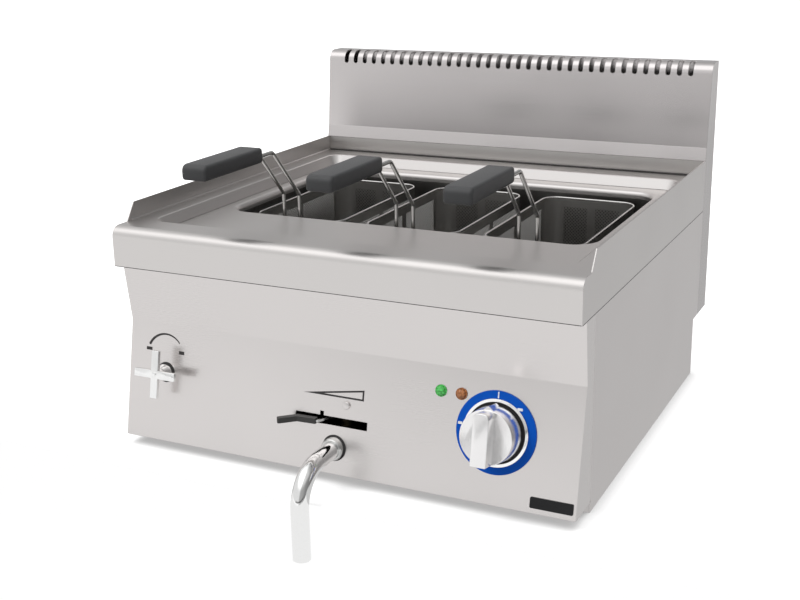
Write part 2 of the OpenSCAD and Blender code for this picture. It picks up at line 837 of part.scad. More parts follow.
module knob() {
  face_n = knob_low + knob_h;
  color("white") on_panel(dial_x, dial_s) difference() {
    union() {
      translate([0, 0, knob_low]) cylinder(h = knob_h, r1 = knob_r, r2 = knob_r - knob_taper);
      translate([-knob_bar_w / 2, knob_bar_in - knob_r, face_n - knob_bar_sunk])
        cube([knob_bar_w, 2 * (knob_r - knob_bar_in), knob_bar_h + knob_bar_sunk]);
      translate([0, 0, knob_low]) linear_extrude(knob_tip_h)
        polygon([
          [-knob_tip_w, knob_r - knob_tip_w], [knob_tip_w, knob_r - knob_tip_w], [0, knob_r + knob_tip]
        ]);
    }
    translate([0, 0, -cut]) cylinder(h = shaft_out + 1 + cut, r = shaft_r + seat_gap);
  }
}

module lamp_holders() {
  color("dimgray") for (k = [0, 1]) on_panel(lamp_x + k * lamp_step, lamp_s)
    translate([0, 0, -30]) cylinder(h = 30, r = lamp_r - lamp_lip);
}

module lamp_lens(k) {
  on_panel(lamp_x + k * lamp_step, lamp_s) {
    cylinder(h = lamp_lip, r = lamp_r);
    intersection() {
      translate([0, 0, lamp_lip + 3 - 9.7]) sphere(9.7);
      translate([0, 0, 1.4]) cylinder(h = 10, r = lamp_r);
    }
  }
}

module lamp_green() {
  color("limegreen") lamp_lens(0);
}

module lamp_orange() {
  color("darkorange") lamp_lens(1);
}

// plain dark plate at the lower corner of the panel
module badge_plate() {
  color("black") on_panel(half_w - badge_inset, badge_s) linear_extrude(1.2)
    rounded(-badge_hx, badge_hx, -badge_hs, badge_hs, 2.5);
}

module panel_plug() {
  color("silver") on_panel(plug_x, plug_s) {
    intersection() {
      translate([0, 0, 2.5 - 6.5]) sphere(6.5);
      cylinder(h = 5, r = 5);
    }
    translate([0, 0, -6]) cylinder(h = 6.5, r = plug_r);
  }
}

module contactor() {
  color("dimgray") translate([half_w - contactor_inset, side_front_y + contactor_back, sheet]) {
    cube([contactor_w, contactor_d, contactor_h]);
    translate([contactor_step, 2 * contactor_step, contactor_h])
      cube([contactor_w - 2 * contactor_step, contactor_d - 4 * contactor_step, contactor_cap]);
  }
}

module terminal_block() {
  color("beige") translate([half_w - 90, foot_y - 60, sheet]) difference() {
    cube([70, 24, 26]);
    for (i = [0 : 4]) translate([4 + i * 13, -cut, 14]) cube([10, 9, 13]);
  }
}

// round limit switch on the front wall of the well
module limit_switch() {
  z = well_floor_z + 50;
  color("dimgray") translate([basket_pitch / 2, well_front_y - sheet, z]) rotate([90, 0, 0]) {
    cylinder(h = 5, r = 12);
    cylinder(h = 16, r = 8);
  }
}

module at_basket(k) {
  translate([k * basket_pitch, 0, 0]) children();
}

module basket_shell() {
  hx = basket_w / 2;
  y0 = basket_front_y;
  y1 = basket_front_y + basket_l;
  w = basket_wall;
  color("lightgray") difference() {
    translate([0, 0, basket_z]) linear_extrude(rim_z - rim_r - basket_z) rounded(-hx, hx, y0, y1, basket_r);
    translate([0, 0, basket_z + w]) linear_extrude(rim_z)
      rounded(-hx + w, hx - w, y0 + w, y1 - w, basket_r - w);
  }
}

module basket_rim() {
  c = basket_wall / 2;
  y0 = basket_front_y + c;
  y1 = basket_front_y + basket_l - c;
  color("white") sweep_round(basket_w / 2 - c, y0, y1, basket_r - c)
    translate([basket_r - c, rim_z]) circle(rim_r);
}

// one wire of the handle
module handle_wire() {
  translate([0, wire_y, wire_low_z]) cylinder(h = wire_knee_z - wire_low_z, r = wire_r);
  translate([0, wire_y, wire_knee_z]) {
    sphere(wire_r);
    rotate([wire_angle, 0, 0]) cylinder(h = wire_slope, r = wire_r);
  }
  translate([0, wire_elbow_y, wire_level_z]) {
    sphere(wire_r);
    rotate([90, 0, 0]) cylinder(h = wire_elbow_y - grip_rear_y + wire_in, r = wire_r);
  }
}

// two wires with the strap that joins them to the basket front
module basket_handle() {
  color("white") {
    for (m = [-1, 1]) translate([m * wire_half, 0, 0]) handle_wire();
    translate([-wire_half - 6, wire_y + wire_r - 0.5, wire_low_z])
      cube([2 * wire_half + 12, basket_front_y - wire_y - wire_r + 0.5, 12]);
  }
}

// bar rounded in plan, in section and in side view, with two blind holes for the wires
module basket_grip() {
  hx = grip_w / 2;
  ht = grip_t / 2;
  y0 = grip_rear_y - grip_l;
  color("dimgray") difference() {
    intersection() {
      translate([0, 0, grip_z - ht]) linear_extrude(grip_t) rounded(-hx, hx, y0, grip_rear_y, grip_corner);
      translate([0, grip_rear_y, grip_z]) rotate([90, 0, 0]) linear_extrude(grip_l)
        rounded(-hx, hx, -ht, ht, grip_edge);
      translate([0, 0, grip_z]) side_slab(-hx, grip_w) rounded(y0, grip_rear_y, -ht, ht, grip_edge);
    }
    for (m = [-1, 1]) translate([m * wire_half, grip_rear_y + cut, wire_level_z]) rotate([90, 0, 0])
      cylinder(h = wire_in + cut + seat_gap, r = wire_r + seat_gap);
  }
}

module basket_left_shell() { at_basket(-1) basket_shell(); }
module basket_left_rim() { at_basket(-1) basket_rim(); }
module basket_left_handle() { at_basket(-1) basket_handle(); }
module basket_left_grip() { at_basket(-1) basket_grip(); }
module basket_middle_shell() { at_basket(0) basket_shell(); }
module basket_middle_rim() { at_basket(0) basket_rim(); }
module basket_middle_handle() { at_basket(0) basket_handle(); }
module basket_middle_grip() { at_basket(0) basket_grip(); }
module basket_right_shell() { at_basket(1) basket_shell(); }
module basket_right_rim() { at_basket(1) basket_rim(); }
module basket_right_handle() { at_basket(1) basket_handle(); }
module basket_right_grip() { at_basket(1) basket_grip(); }

base_plate();
side_panel_left();
side_panel_right();
front_panel();
worktop();
splashback();
rear_panel();
rear_lower_panel();
rear_screws();
well();
rack();
heaters();
heater_flanges();
drain_pipe();
valve_body();
drain_collar();
drain_spout();
tap_body();
tap_bonnet();
supply_pipe();
fill_pipe();
inlet_nipple();
cable_gland();
dial_ring();
dial_bezel();
regulator();
lamp_holders();
lamp_green();
lamp_orange();
badge_plate();
panel_plug();
contactor();
terminal_block();
limit_switch();
knob();
knob_shaft();
tap_cross();
tap_stem();
lever_arm();
lever_grip();
valve_stem();
basket_left_shell();
basket_left_rim();
basket_left_handle();
basket_left_grip();
basket_middle_shell();
basket_middle_rim();
basket_middle_handle();
basket_middle_grip();
basket_right_shell();
basket_right_rim();
basket_right_handle();
basket_right_grip();
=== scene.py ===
import json
import math

import bpy
from mathutils import Matrix, Vector


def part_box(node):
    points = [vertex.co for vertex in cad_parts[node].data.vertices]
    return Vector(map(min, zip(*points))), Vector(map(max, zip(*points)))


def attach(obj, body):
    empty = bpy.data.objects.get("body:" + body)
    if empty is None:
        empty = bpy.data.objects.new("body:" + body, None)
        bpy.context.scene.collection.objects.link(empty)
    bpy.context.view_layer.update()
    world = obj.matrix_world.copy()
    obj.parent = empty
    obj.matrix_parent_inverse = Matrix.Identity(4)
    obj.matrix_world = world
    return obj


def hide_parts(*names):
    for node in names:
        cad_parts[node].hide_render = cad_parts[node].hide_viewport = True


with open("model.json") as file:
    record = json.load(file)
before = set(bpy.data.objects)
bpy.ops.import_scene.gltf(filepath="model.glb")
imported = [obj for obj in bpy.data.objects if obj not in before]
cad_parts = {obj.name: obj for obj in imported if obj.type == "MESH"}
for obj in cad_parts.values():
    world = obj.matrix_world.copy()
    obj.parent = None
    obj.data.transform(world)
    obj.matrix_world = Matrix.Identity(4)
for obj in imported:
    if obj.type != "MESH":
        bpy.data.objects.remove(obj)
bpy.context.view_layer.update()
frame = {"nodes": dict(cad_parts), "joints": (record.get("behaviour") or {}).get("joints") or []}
nodes = frame["nodes"]
jointOf = {joint["name"]: joint for joint in frame["joints"]}
print("frame loaded:", len(nodes), "nodes")


# camera, as the photograph was taken

cameraSetup = {
    "spot": (0.6645, -1.4681, 0.647),
    "azimuth": 26.14,   # degrees, from straight in front towards the right
    "elevation": 17.43,
    "roll": -1.07,
    "lens": 55.737,     # mm
    "sensor": 36,       # mm wide
}


def makeCamera(setup):
    azimuth, elevation, roll = (math.radians(setup[key]) for key in ("azimuth", "elevation", "roll"))
    across, along = math.sin(azimuth) * math.cos(elevation), math.cos(azimuth) * math.cos(elevation)
    back = Vector((across, -along, math.sin(elevation)))
    right = Vector((math.cos(azimuth), math.sin(azimuth), 0))
    up = back.cross(right)
    turnedRight = math.cos(roll) * right + math.sin(roll) * up
    turnedUp = math.cos(roll) * up - math.sin(roll) * right
    lens = bpy.data.cameras.new("camera")
    lens.lens = setup["lens"]
    lens.sensor_width = setup["sensor"]
    camera = bpy.data.objects.new("camera", lens)
    bpy.context.scene.collection.objects.link(camera)
    turn = Matrix((turnedRight, turnedUp, back)).transposed().to_4x4()
    camera.matrix_world = Matrix.Translation(setup["spot"]) @ turn
    bpy.context.scene.camera = camera


makeCamera(cameraSetup)
bpy.context.scene.view_settings.view_transform = "Standard"
print("camera placed")


# modelling helpers

touch = 1e-5     # metres, places this close are the same
faceOn = 0.999   # share of a normal along the way it faces


def doneEditing():
    bpy.ops.object.mode_set(mode="OBJECT")


def freshStart():
    if bpy.context.mode != "OBJECT":
        doneEditing()
    bpy.ops.object.select_all(action="DESELECT")


def makeActive(piece, *others):
    freshStart()
    for one in (piece, *others):
        one.select_set(True)
    bpy.context.view_layer.objects.active = piece


def editAll(piece):   # edit mode, with everything selected
    makeActive(piece)
    bpy.ops.object.mode_set(mode="EDIT")
    bpy.ops.mesh.select_all(action="SELECT")


def named(name):   # the primitive that was just added
    piece = bpy.context.object
    piece.name = name
    piece.data.name = name
    return piece


def settle(piece, place=None):   # puts the object's place into its mesh
    makeActive(piece)
    if place is not None:
        piece.matrix_world = place @ piece.matrix_world
    bpy.ops.object.transform_apply(location=True, rotation=True, scale=True)
    return piece


def addBlock(name, size, centre):
    freshStart()
    bpy.ops.mesh.primitive_cube_add(size=1, location=centre)
    piece = named(name)
    piece.scale = size
    return settle(piece)


def addBox(name, low, high):   # between two corners
    low, high = Vector(low), Vector(high)
    return addBlock(name, high - low, (low + high) / 2)


def addRod(name, radius, low, high, sides):   # upright, from low to high
    freshStart()
    middle = (0, 0, (low + high) / 2)
    bpy.ops.mesh.primitive_cylinder_add(vertices=sides, radius=radius, depth=high - low, location=middle)
    return settle(named(name))


def addCircle(name, sides, radius, centre):
    freshStart()
    bpy.ops.mesh.primitive_circle_add(vertices=sides, radius=radius, location=centre)
    return settle(named(name))


def addPlane(name, wide, deep, centre):
    freshStart()
    bpy.ops.mesh.primitive_plane_add(size=1, location=centre)
    piece = named(name)
    piece.scale = (wide, deep, 1)
    return settle(piece)


def pick(piece, kind, wanted):   # selects faces, edges or points by their place, and stays in edit mode
    makeActive(piece)
    bpy.ops.object.mode_set(mode="EDIT")
    bpy.ops.mesh.select_mode(type=kind)
    bpy.ops.mesh.select_all(action="DESELECT")
    doneEditing()
    mesh = piece.data
    if kind == "FACE":
        for face in mesh.polygons:
            face.select = wanted(face.center, face.normal)
    elif kind == "EDGE":
        for edge in mesh.edges:
            edge.select = wanted(*(mesh.vertices[i].co for i in edge.vertices))
    else:
        for point in mesh.vertices:
            point.select = wanted(point.co)
    bpy.ops.object.mode_set(mode="EDIT")


def isUpright(a, b):
    return (a - b).xy.length < touch


def looksUp(spot, normal):
    return normal.z > faceOn


def above(level):   # edges at a level or over it
    return lambda a, b: min(a.z, b.z) > level - touch


def bevelPicked(piece, wanted, width, steps=2):
    pick(piece, "EDGE", wanted)
    bpy.ops.mesh.bevel(offset=width, segments=steps, affect="EDGES", clamp_overlap=True)
    doneEditing()


def dished(piece, border, depth):   # sinks the middle of the top face
    pick(piece, "FACE", looksUp)
    bpy.ops.mesh.inset(thickness=border)
    bpy.ops.transform.translate(value=(0, 0, -depth))
    doneEditing()


def useModifier(piece, kind, **settings):
    makeActive(piece)
    modifier = piece.modifiers.new("step", kind)
    for key, value in settings.items():
        setattr(modifier, key, value)
    bpy.ops.object.modifier_apply(modifier=modifier.name)


def joined(first, *others):
    makeActive(first, *others)
    bpy.ops.object.join()
    return first


def fused(first, *others):   # one closed skin
    for other in others:
        useModifier(first, "BOOLEAN", object=other, operation="UNION", solver="EXACT")
        bpy.data.objects.remove(other)
    return first


def smoothed(piece, degrees=40):
    makeActive(piece)
    bpy.ops.object.shade_smooth_by_angle(angle=math.radians(degrees))
    return piece


def shiftedCopy(piece, name, shift):
    makeActive(piece)
    bpy.ops.object.duplicate(linked=False)
    twin = named(name)
    twin.location = shift
    return settle(twin)


def finishPiece(piece, body, slot, material, *replaced):
    piece.data.materials.clear()
    piece.data.materials.append(material)
    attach(piece, body)
    if replaced:
        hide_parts(*replaced)


# places on the sloped front panel: x across, y up the panel, z outward

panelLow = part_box("front_panel")[0]
panelOut = Vector(jointOf["regulator_turn"]["axis"])
panelTilt = math.atan2(panelOut.z, -panelOut.y)
panelTurn = Matrix.Rotation(math.pi / 2 - panelTilt, 4, "X")
panelPlace = Matrix.Translation((0, panelLow.y, panelLow.z)) @ panelTurn
knobPlace = Matrix.Translation(jointOf["regulator_turn"]["pos_m"]) @ panelTurn
tapPlace = Matrix.Translation(jointOf["tap_turn"]["pos_m"]) @ panelTurn


def onPanel(name):   # a node's low and high corners in the panel's own axes
    spots = [panelPlace.inverted() @ point.co for point in nodes[name].data.vertices]
    low, high = (Vector(end(spot[axis] for spot in spots) for axis in range(3)) for end in (min, max))
    return low, high


# material nodes

noiseSpan = (0.3, 0.7)   # where most values of a noise lie
edgeSamples = 4


def newMaterial(name, sockets):
    material = bpy.data.materials.new(name)
    material.use_nodes = True
    tree = material.node_tree
    shader = tree.nodes["Principled BSDF"]
    for socket, value in sockets.items():
        shader.inputs[socket].default_value = value
    return material, tree, shader


def mathNode(tree, operation, *values):
    node = tree.nodes.new("ShaderNodeMath")
    node.operation = operation
    for socket, value in zip(node.inputs, values):
        if isinstance(value, (int, float)):
            socket.default_value = value
        else:
            tree.links.new(value, socket)
    return node.outputs["Value"]


def faded(tree, value, limits, low, high, style="SMOOTHSTEP"):   # low before the limits, high past them
    node = tree.nodes.new("ShaderNodeMapRange")
    node.interpolation_type = style
    for socket, number in zip(("From Min", "From Max", "To Min", "To Max"), (*limits, low, high)):
        node.inputs[socket].default_value = number
    tree.links.new(value, node.inputs["Value"])
    return node.outputs["Result"]


def ranged(tree, noise, low, high):
    return faded(tree, noise, noiseSpan, low, high, "LINEAR")


def objectSpot(tree):
    return tree.nodes.new("ShaderNodeTexCoord").outputs["Object"]


def grainField(tree, stretch, detail):   # noise on Object coordinates, its scale per metre along each axis
    turn = tree.nodes.new("ShaderNodeMapping")
    noise = tree.nodes.new("ShaderNodeTexNoise")
    turn.inputs["Scale"].default_value = stretch
    noise.inputs["Scale"].default_value = 1.0
    noise.inputs["Detail"].default_value = detail
    tree.links.new(objectSpot(tree), turn.inputs["Vector"])
    tree.links.new(turn.outputs["Vector"], noise.inputs["Vector"])
    return noise.outputs["Fac"]


def toned(tree, shader, value, dark, light):   # base colour between two tones
    node = tree.nodes.new("ShaderNodeMix")
    node.data_type = "RGBA"
    node.inputs["A"].default_value = (*dark, 1)
    node.inputs["B"].default_value = (*light, 1)
    tree.links.new(value, node.inputs["Factor"])
    tree.links.new(node.outputs["Result"], shader.inputs["Base Color"])


def bumped(tree, shader, value, strength, depth, edgeRadius=0.0):
    bump = tree.nodes.new("ShaderNodeBump")
    bump.inputs["Strength"].default_value = strength
    bump.inputs["Distance"].default_value = depth
    tree.links.new(value, bump.inputs["Height"])
    if edgeRadius:
        edge = tree.nodes.new("ShaderNodeBevel")
        edge.samples = edgeSamples
        edge.inputs["Radius"].default_value = edgeRadius
        tree.links.new(edge.outputs["Normal"], bump.inputs["Normal"])
    tree.links.new(bump.outputs["Normal"], shader.inputs["Normal"])


def dimmed(colour, share):
    return tuple(part * share for part in colour)


brushed = {
    "detail": 4.0, "dim": 0.985, "spread": 0.015, "bump": 0.0015, "depth": 0.0001, "edge": 0.0006,
    "patch": (7, 7, 7), "patchDetail": 2.0, "patchRough": (-0.01, 0.02),   # soft patches from handling
}


def sheetSteel(name, tone, rough, grain, edgeRadius=brushed["edge"]):
    material, tree, shader = newMaterial(name, {"Metallic": 1.0})
    brushing = grainField(tree, grain, brushed["detail"])
    handling = grainField(tree, brushed["patch"], brushed["patchDetail"])
    toned(tree, shader, brushing, dimmed(tone, brushed["dim"]), tone)
    fine = ranged(tree, brushing, rough - brushed["spread"], rough + brushed["spread"])
    coarse = ranged(tree, handling, *brushed["patchRough"])
    tree.links.new(mathNode(tree, "ADD", fine, coarse), shader.inputs["Roughness"])
    bumped(tree, shader, brushing, brushed["bump"], brushed["depth"], edgeRadius)
    return material


splashShade = {   # where painted shade darkens the splashback, standing in for the dark wells it reflects
    "rise": (0.29, 0.43), "dim": 0.40,
    "leftEnd": (-0.295, -0.235),
    "rightEnd": (0.10, 0.32), "rightShare": 0.55,
}


def withPaintedShade(material):   # painted shade: darker towards the foot, less so at the ends
    tree = material.node_tree
    base = tree.nodes["Principled BSDF"].inputs["Base Color"]
    split = tree.nodes.new("ShaderNodeSeparateXYZ")
    tree.links.new(objectSpot(tree), split.inputs["Vector"])
    dim = faded(tree, split.outputs["Z"], splashShade["rise"], splashShade["dim"], 0)
    left = faded(tree, split.outputs["X"], splashShade["leftEnd"], 0, 1)
    right = faded(tree, split.outputs["X"], splashShade["rightEnd"], 1, splashShade["rightShare"])
    dim = mathNode(tree, "MULTIPLY", dim, mathNode(tree, "MULTIPLY", left, right))
    scale = tree.nodes.new("ShaderNodeVectorMath")
    scale.operation = "SCALE"
    tree.links.new(base.links[0].from_socket, scale.inputs["Vector"])
    tree.links.new(mathNode(tree, "SUBTRACT", 1.0, dim), scale.inputs["Scale"])
    tree.links.new(scale.outputs["Vector"], base)
    return material


polish = {"grain": (260, 260, 260), "detail": 3.0, "dim": 0.95, "spread": 0.05,
          "bump": 0.02, "depth": 0.0001, "edge": 0.0004}


def polishedSteel(name, tone, rough):
    material, tree, shader = newMaterial(name, {"Metallic": 1.0})
    wipe = grainField(tree, polish["grain"], polish["detail"])
    toned(tree, shader, wipe, dimmed(tone, polish["dim"]), tone)
    tree.links.new(ranged(tree, wipe, rough, rough + polish["spread"]), shader.inputs["Roughness"])
    bumped(tree, shader, wipe, polish["bump"], polish["depth"], polish["edge"])
    return material


plastic = {"detail": 2.0, "cloud": (30, 30, 30), "dark": 0.9, "light": 1.1,
           "smoother": 0.04, "rougher": 0.06, "bump": 0.15, "edge": 0.0004}


def mouldedPlastic(name, tone, rough, grainSize, grainDepth, gloss=0.5):
    material, tree, shader = newMaterial(name, {"Specular IOR Level": gloss})
    grain = grainField(tree, (1 / grainSize,) * 3, plastic["detail"])
    cloud = grainField(tree, plastic["cloud"], plastic["detail"])
    toned(tree, shader, cloud, dimmed(tone, plastic["dark"]), dimmed(tone, plastic["light"]))
    roughness = ranged(tree, grain, rough - plastic["smoother"], rough + plastic["rougher"])
    tree.links.new(roughness, shader.inputs["Roughness"])
    bumped(tree, shader, grain, plastic["bump"], grainDepth, plastic["edge"])
    return material


threads = {"grain": (120, 120, 120), "detail": 4.0, "dim": 0.75, "rough": (0.25, 0.42),
           "waveScale": 90, "bump": 0.5, "depth": 0.0006}


def threadedBrass(name, tone):
    material, tree, shader = newMaterial(name, {"Metallic": 1.0})
    patina = grainField(tree, threads["grain"], threads["detail"])
    thread = tree.nodes.new("ShaderNodeTexWave")
    thread.bands_direction = "Y"
    thread.inputs["Scale"].default_value = threads["waveScale"]
    tree.links.new(objectSpot(tree), thread.inputs["Vector"])
    toned(tree, shader, patina, dimmed(tone, threads["dim"]), tone)
    tree.links.new(ranged(tree, patina, *threads["rough"]), shader.inputs["Roughness"])
    bumped(tree, shader, thread.outputs["Fac"], threads["bump"], threads["depth"])
    return material


jewel = {"cells": 420, "gain": 1.8, "lift": 0.03, "dim": 0.55, "bump": 0.3, "depth": 0.0006,
         "skin": {"Roughness": 0.25, "Coat Weight": 0.2, "Coat Roughness": 0.05}}


def jewelLens(name, tone):   # coloured lens with a facet pattern under a gloss skin
    material, tree, shader = newMaterial(name, jewel["skin"])
    facets = tree.nodes.new("ShaderNodeTexVoronoi")
    facets.inputs["Scale"].default_value = jewel["cells"]
    tree.links.new(objectSpot(tree), facets.inputs["Vector"])
    light = tuple(min(1.0, part * jewel["gain"] + jewel["lift"]) for part in tone)
    toned(tree, shader, facets.outputs["Distance"], light, dimmed(tone, jewel["dim"]))
    bumped(tree, shader, facets.outputs["Distance"], jewel["bump"], jewel["depth"])
    return material


# materials: tone, then roughness, then grain

acrossGrain = (6, 2600, 2600)   # brushed along x
alongGrain = (2600, 6, 2600)    # brushed along y
upGrain = (2600, 2600, 6)       # brushed along z
panelTone = (0.735, 0.705, 0.695)
backTone = (0.68, 0.648, 0.644)
backRough = 0.22

frontSteel = sheetSteel("front_steel", panelTone, 0.25, acrossGrain)
sideSteel = sheetSteel("side_steel", panelTone, 0.34, alongGrain)
topSteel = sheetSteel("worktop_steel", (0.71, 0.686, 0.673), 0.35, acrossGrain)
# the splashback carries painted shade towards its foot
splashSteel = withPaintedShade(sheetSteel("splashback_steel", backTone, backRough, acrossGrain))
backSteel = sheetSteel("back_steel", backTone, backRough, acrossGrain)
# darker copy of the steel: painted shade on the facing at the splashback's foot
footSteel = sheetSteel("foot_steel", (0.60, 0.58, 0.565), 0.5, acrossGrain)
# darker copy of the steel: painted shade in the deep well and on its rack
wellSteel = sheetSteel("well_steel", (0.27, 0.262, 0.255), 0.3, acrossGrain)
basketSteel = sheetSteel("basket_steel", (0.52, 0.51, 0.495), 0.34, upGrain, 0)
heaterSteel = sheetSteel("heater_steel", (0.22, 0.21, 0.20), 0.42, alongGrain, 0)
wireSteel = polishedSteel("wire_steel", (0.72, 0.715, 0.70), 0.16)
leverSteel = polishedSteel("lever_steel", (0.65, 0.65, 0.64), 0.2)
chrome = polishedSteel("chrome", (0.92, 0.92, 0.915), 0.05)
satinChrome = polishedSteel("satin_chrome", (0.97, 0.97, 0.965), 0.18)
knobSilver = polishedSteel("knob_silver", (0.96, 0.95, 0.95), 0.2)
copper = polishedSteel("copper_pipe", (0.74, 0.42, 0.28), 0.22)
dullBrass = polishedSteel("dull_brass", (0.14, 0.115, 0.075), 0.45)
brass = threadedBrass("brass", (0.72, 0.56, 0.28))
gripPlastic = mouldedPlastic("grip_plastic", (0.037, 0.0375, 0.039), 0.46, 0.0007, 0.00012, gloss=0.4)
leverPlastic = mouldedPlastic("lever_plastic", (0.026, 0.025, 0.024), 0.42, 0.0006, 0.0001)
darkPlastic = mouldedPlastic("dark_plastic", (0.035, 0.035, 0.036), 0.45, 0.0008, 0.00012)
palePlastic = mouldedPlastic("pale_plastic", (0.72, 0.69, 0.60), 0.45, 0.0008, 0.0001)
dialBlue = mouldedPlastic("dial_blue", (0.0, 0.085, 0.50), 0.5, 0.0012, 0.00005, gloss=0.15)
badgeBlack = mouldedPlastic("badge_black", (0.008, 0.008, 0.009), 0.4, 0.0009, 0.00004, gloss=0.3)
whitePrint = mouldedPlastic("white_print", (0.86, 0.87, 0.90), 0.5, 0.0008, 0.00003)
# dark print on the panel, also used as painted shade in the gaps and seams
darkPrintAndShade = mouldedPlastic("dark_print_and_shade", (0.028, 0.026, 0.026), 0.6, 0.0008, 0.00003)
greenLens = jewelLens("green_lens", (0.05, 0.42, 0.07))
orangeLens = jewelLens("orange_lens", (0.30, 0.10, 0.022))
print("materials made")

finishes = (
    (frontSteel, "front_panel base_plate panel_plug"),
    (sideSteel, "side_panel_left side_panel_right"),
    (topSteel, "worktop"), (splashSteel, "splashback"), (heaterSteel, "heaters"),
    (backSteel, "rear_panel rear_lower_panel"),
    (wellSteel, "well rack"),
    (basketSteel, "basket_left_shell basket_middle_shell basket_right_shell"),
    (wireSteel, "basket_left_rim basket_middle_rim basket_right_rim"),
    (wireSteel, "basket_left_handle basket_middle_handle basket_right_handle knob"),
    (leverSteel, "rear_screws drain_pipe drain_collar valve_stem lever_arm tap_stem knob_shaft"),
    (chrome, "drain_spout tap_bonnet tap_cross dial_bezel"),
    (copper, "supply_pipe fill_pipe"),
    (brass, "heater_flanges inlet_nipple"),
    (dullBrass, "valve_body tap_body"),
    (gripPlastic, "basket_left_grip basket_middle_grip basket_right_grip"),
    (darkPlastic, "cable_gland regulator contactor limit_switch lamp_holders"),
    (leverPlastic, "lever_grip"), (palePlastic, "terminal_block"), (dialBlue, "dial_ring"),
    (badgeBlack, "badge_plate"), (greenLens, "lamp_green"), (orangeLens, "lamp_orange"),
)
finishOf = {name: finish for finish, names in finishes for name in names.split()}
for name, finish in finishOf.items():
    for slot in nodes[name].material_slots:
        slot.material = finish
print("finishes set on", len(finishOf), "nodes")


# baskets: plain frame with perforated fields

basket = {
    "corner": 0.022, "cornerSteps": 6,
    "wall": 0.0012, "sheet": 0.0008,
    "footRound": 0.004,
    "margin": 0.004,       # plain border beside each field
    "collar": 0.011,       # plain band below the rim
    "band": 0.012,         # plain band down the middle of each wall
    "midway": 0.02,        # a wall's middle is this near the basket's in height
    "pitch": 0.0047,       # of the holes along a row, the rows are staggered
    "web": 0.2,            # share of a cell on each side of its hole
    "floorPitch": 0.0085,
    "floorBorder": 0.011,
    "overlap": 0.0004,     # of a field under its frame
}


def perforatedField(name, width, height, pitch):   # flat, about the origin
    cell = pitch / math.sqrt(2)   # the lattice stands on its corner
    count = math.ceil((width + height) / math.sqrt(2) / cell) + 1
    first = Vector((1, 1, 0)) * cell * (1 - count) / 2
    freshStart()
    bpy.ops.mesh.primitive_plane_add(size=cell, location=first)
    field = settle(named(name))
    editAll(field)
    bpy.ops.mesh.inset(thickness=basket["web"] * cell)
    pick(field, "FACE", lambda centre, normal: (centre - first).length < touch)
    bpy.ops.mesh.delete(type="FACE")
    doneEditing()
    for step in ((cell, 0, 0), (0, cell, 0)):
        useModifier(field, "ARRAY", count=count, use_relative_offset=False, use_constant_offset=True,
                    constant_offset_displace=step, use_merge_vertices=True, merge_threshold=touch)
    settle(field, Matrix.Rotation(math.pi / 4, 4, "Z"))
    editAll(field)
    for side in ((width / 2, 0, 0), (-width / 2, 0, 0), (0, height / 2, 0), (0, -height / 2, 0)):
        bpy.ops.mesh.select_all(action="SELECT")
        bpy.ops.mesh.bisect(plane_co=side, plane_no=side, clear_outer=True)
    doneEditing()
    useModifier(field, "SOLIDIFY", thickness=basket["sheet"], offset=0)
    return field


def makeFrame(low, high):   # open at the top, with windows for the fields
    size, centre = high - low, (low + high) / 2
    margin, band, corner = basket["margin"], basket["band"], basket["corner"]
    shell = addBox("basket_shell", low, high)
    pick(shell, "FACE", looksUp)
    bpy.ops.mesh.delete(type="FACE")
    bevelPicked(shell, isUpright, corner, basket["cornerSteps"])
    bevelPicked(shell, lambda a, b: max(a.z, b.z) < low.z + touch, basket["footRound"])

    def isWall(spot, normal):
        upright = max(abs(normal.x), abs(normal.y)) > faceOn
        return upright and abs(spot.z - centre.z) < basket["midway"]

    def inWindow(spot, normal, least=-1):   # at least so far from the wall's middle
        along = 1 if abs(normal.x) > faceOn else 0
        off = abs(spot[along] - centre[along])
        return isWall(spot, normal) and least < off < size[along] / 2 - corner - margin

    pick(shell, "FACE", isWall)
    bpy.ops.mesh.inset(thickness=margin, use_individual=True)
    pick(shell, "VERT", lambda spot: abs(spot.z - (high.z - margin)) < touch)
    bpy.ops.transform.translate(value=(0, 0, margin - basket["collar"]))
    for offset in (-band / 2, band / 2):
        for axis in ((1, 0, 0), (0, 1, 0)):
            pick(shell, "FACE", inWindow)
            bpy.ops.mesh.bisect(plane_co=centre + offset * Vector(axis), plane_no=axis)
    pick(shell, "FACE", lambda spot, normal: inWindow(spot, normal, band / 2))
    bpy.ops.mesh.delete(type="FACE")
    pick(shell, "FACE", lambda spot, normal: normal.z < -faceOn)
    bpy.ops.mesh.inset(thickness=margin)
    bpy.ops.mesh.delete(type="FACE")
    doneEditing()
    useModifier(shell, "SOLIDIFY", thickness=basket["wall"], offset=-1)
    return shell


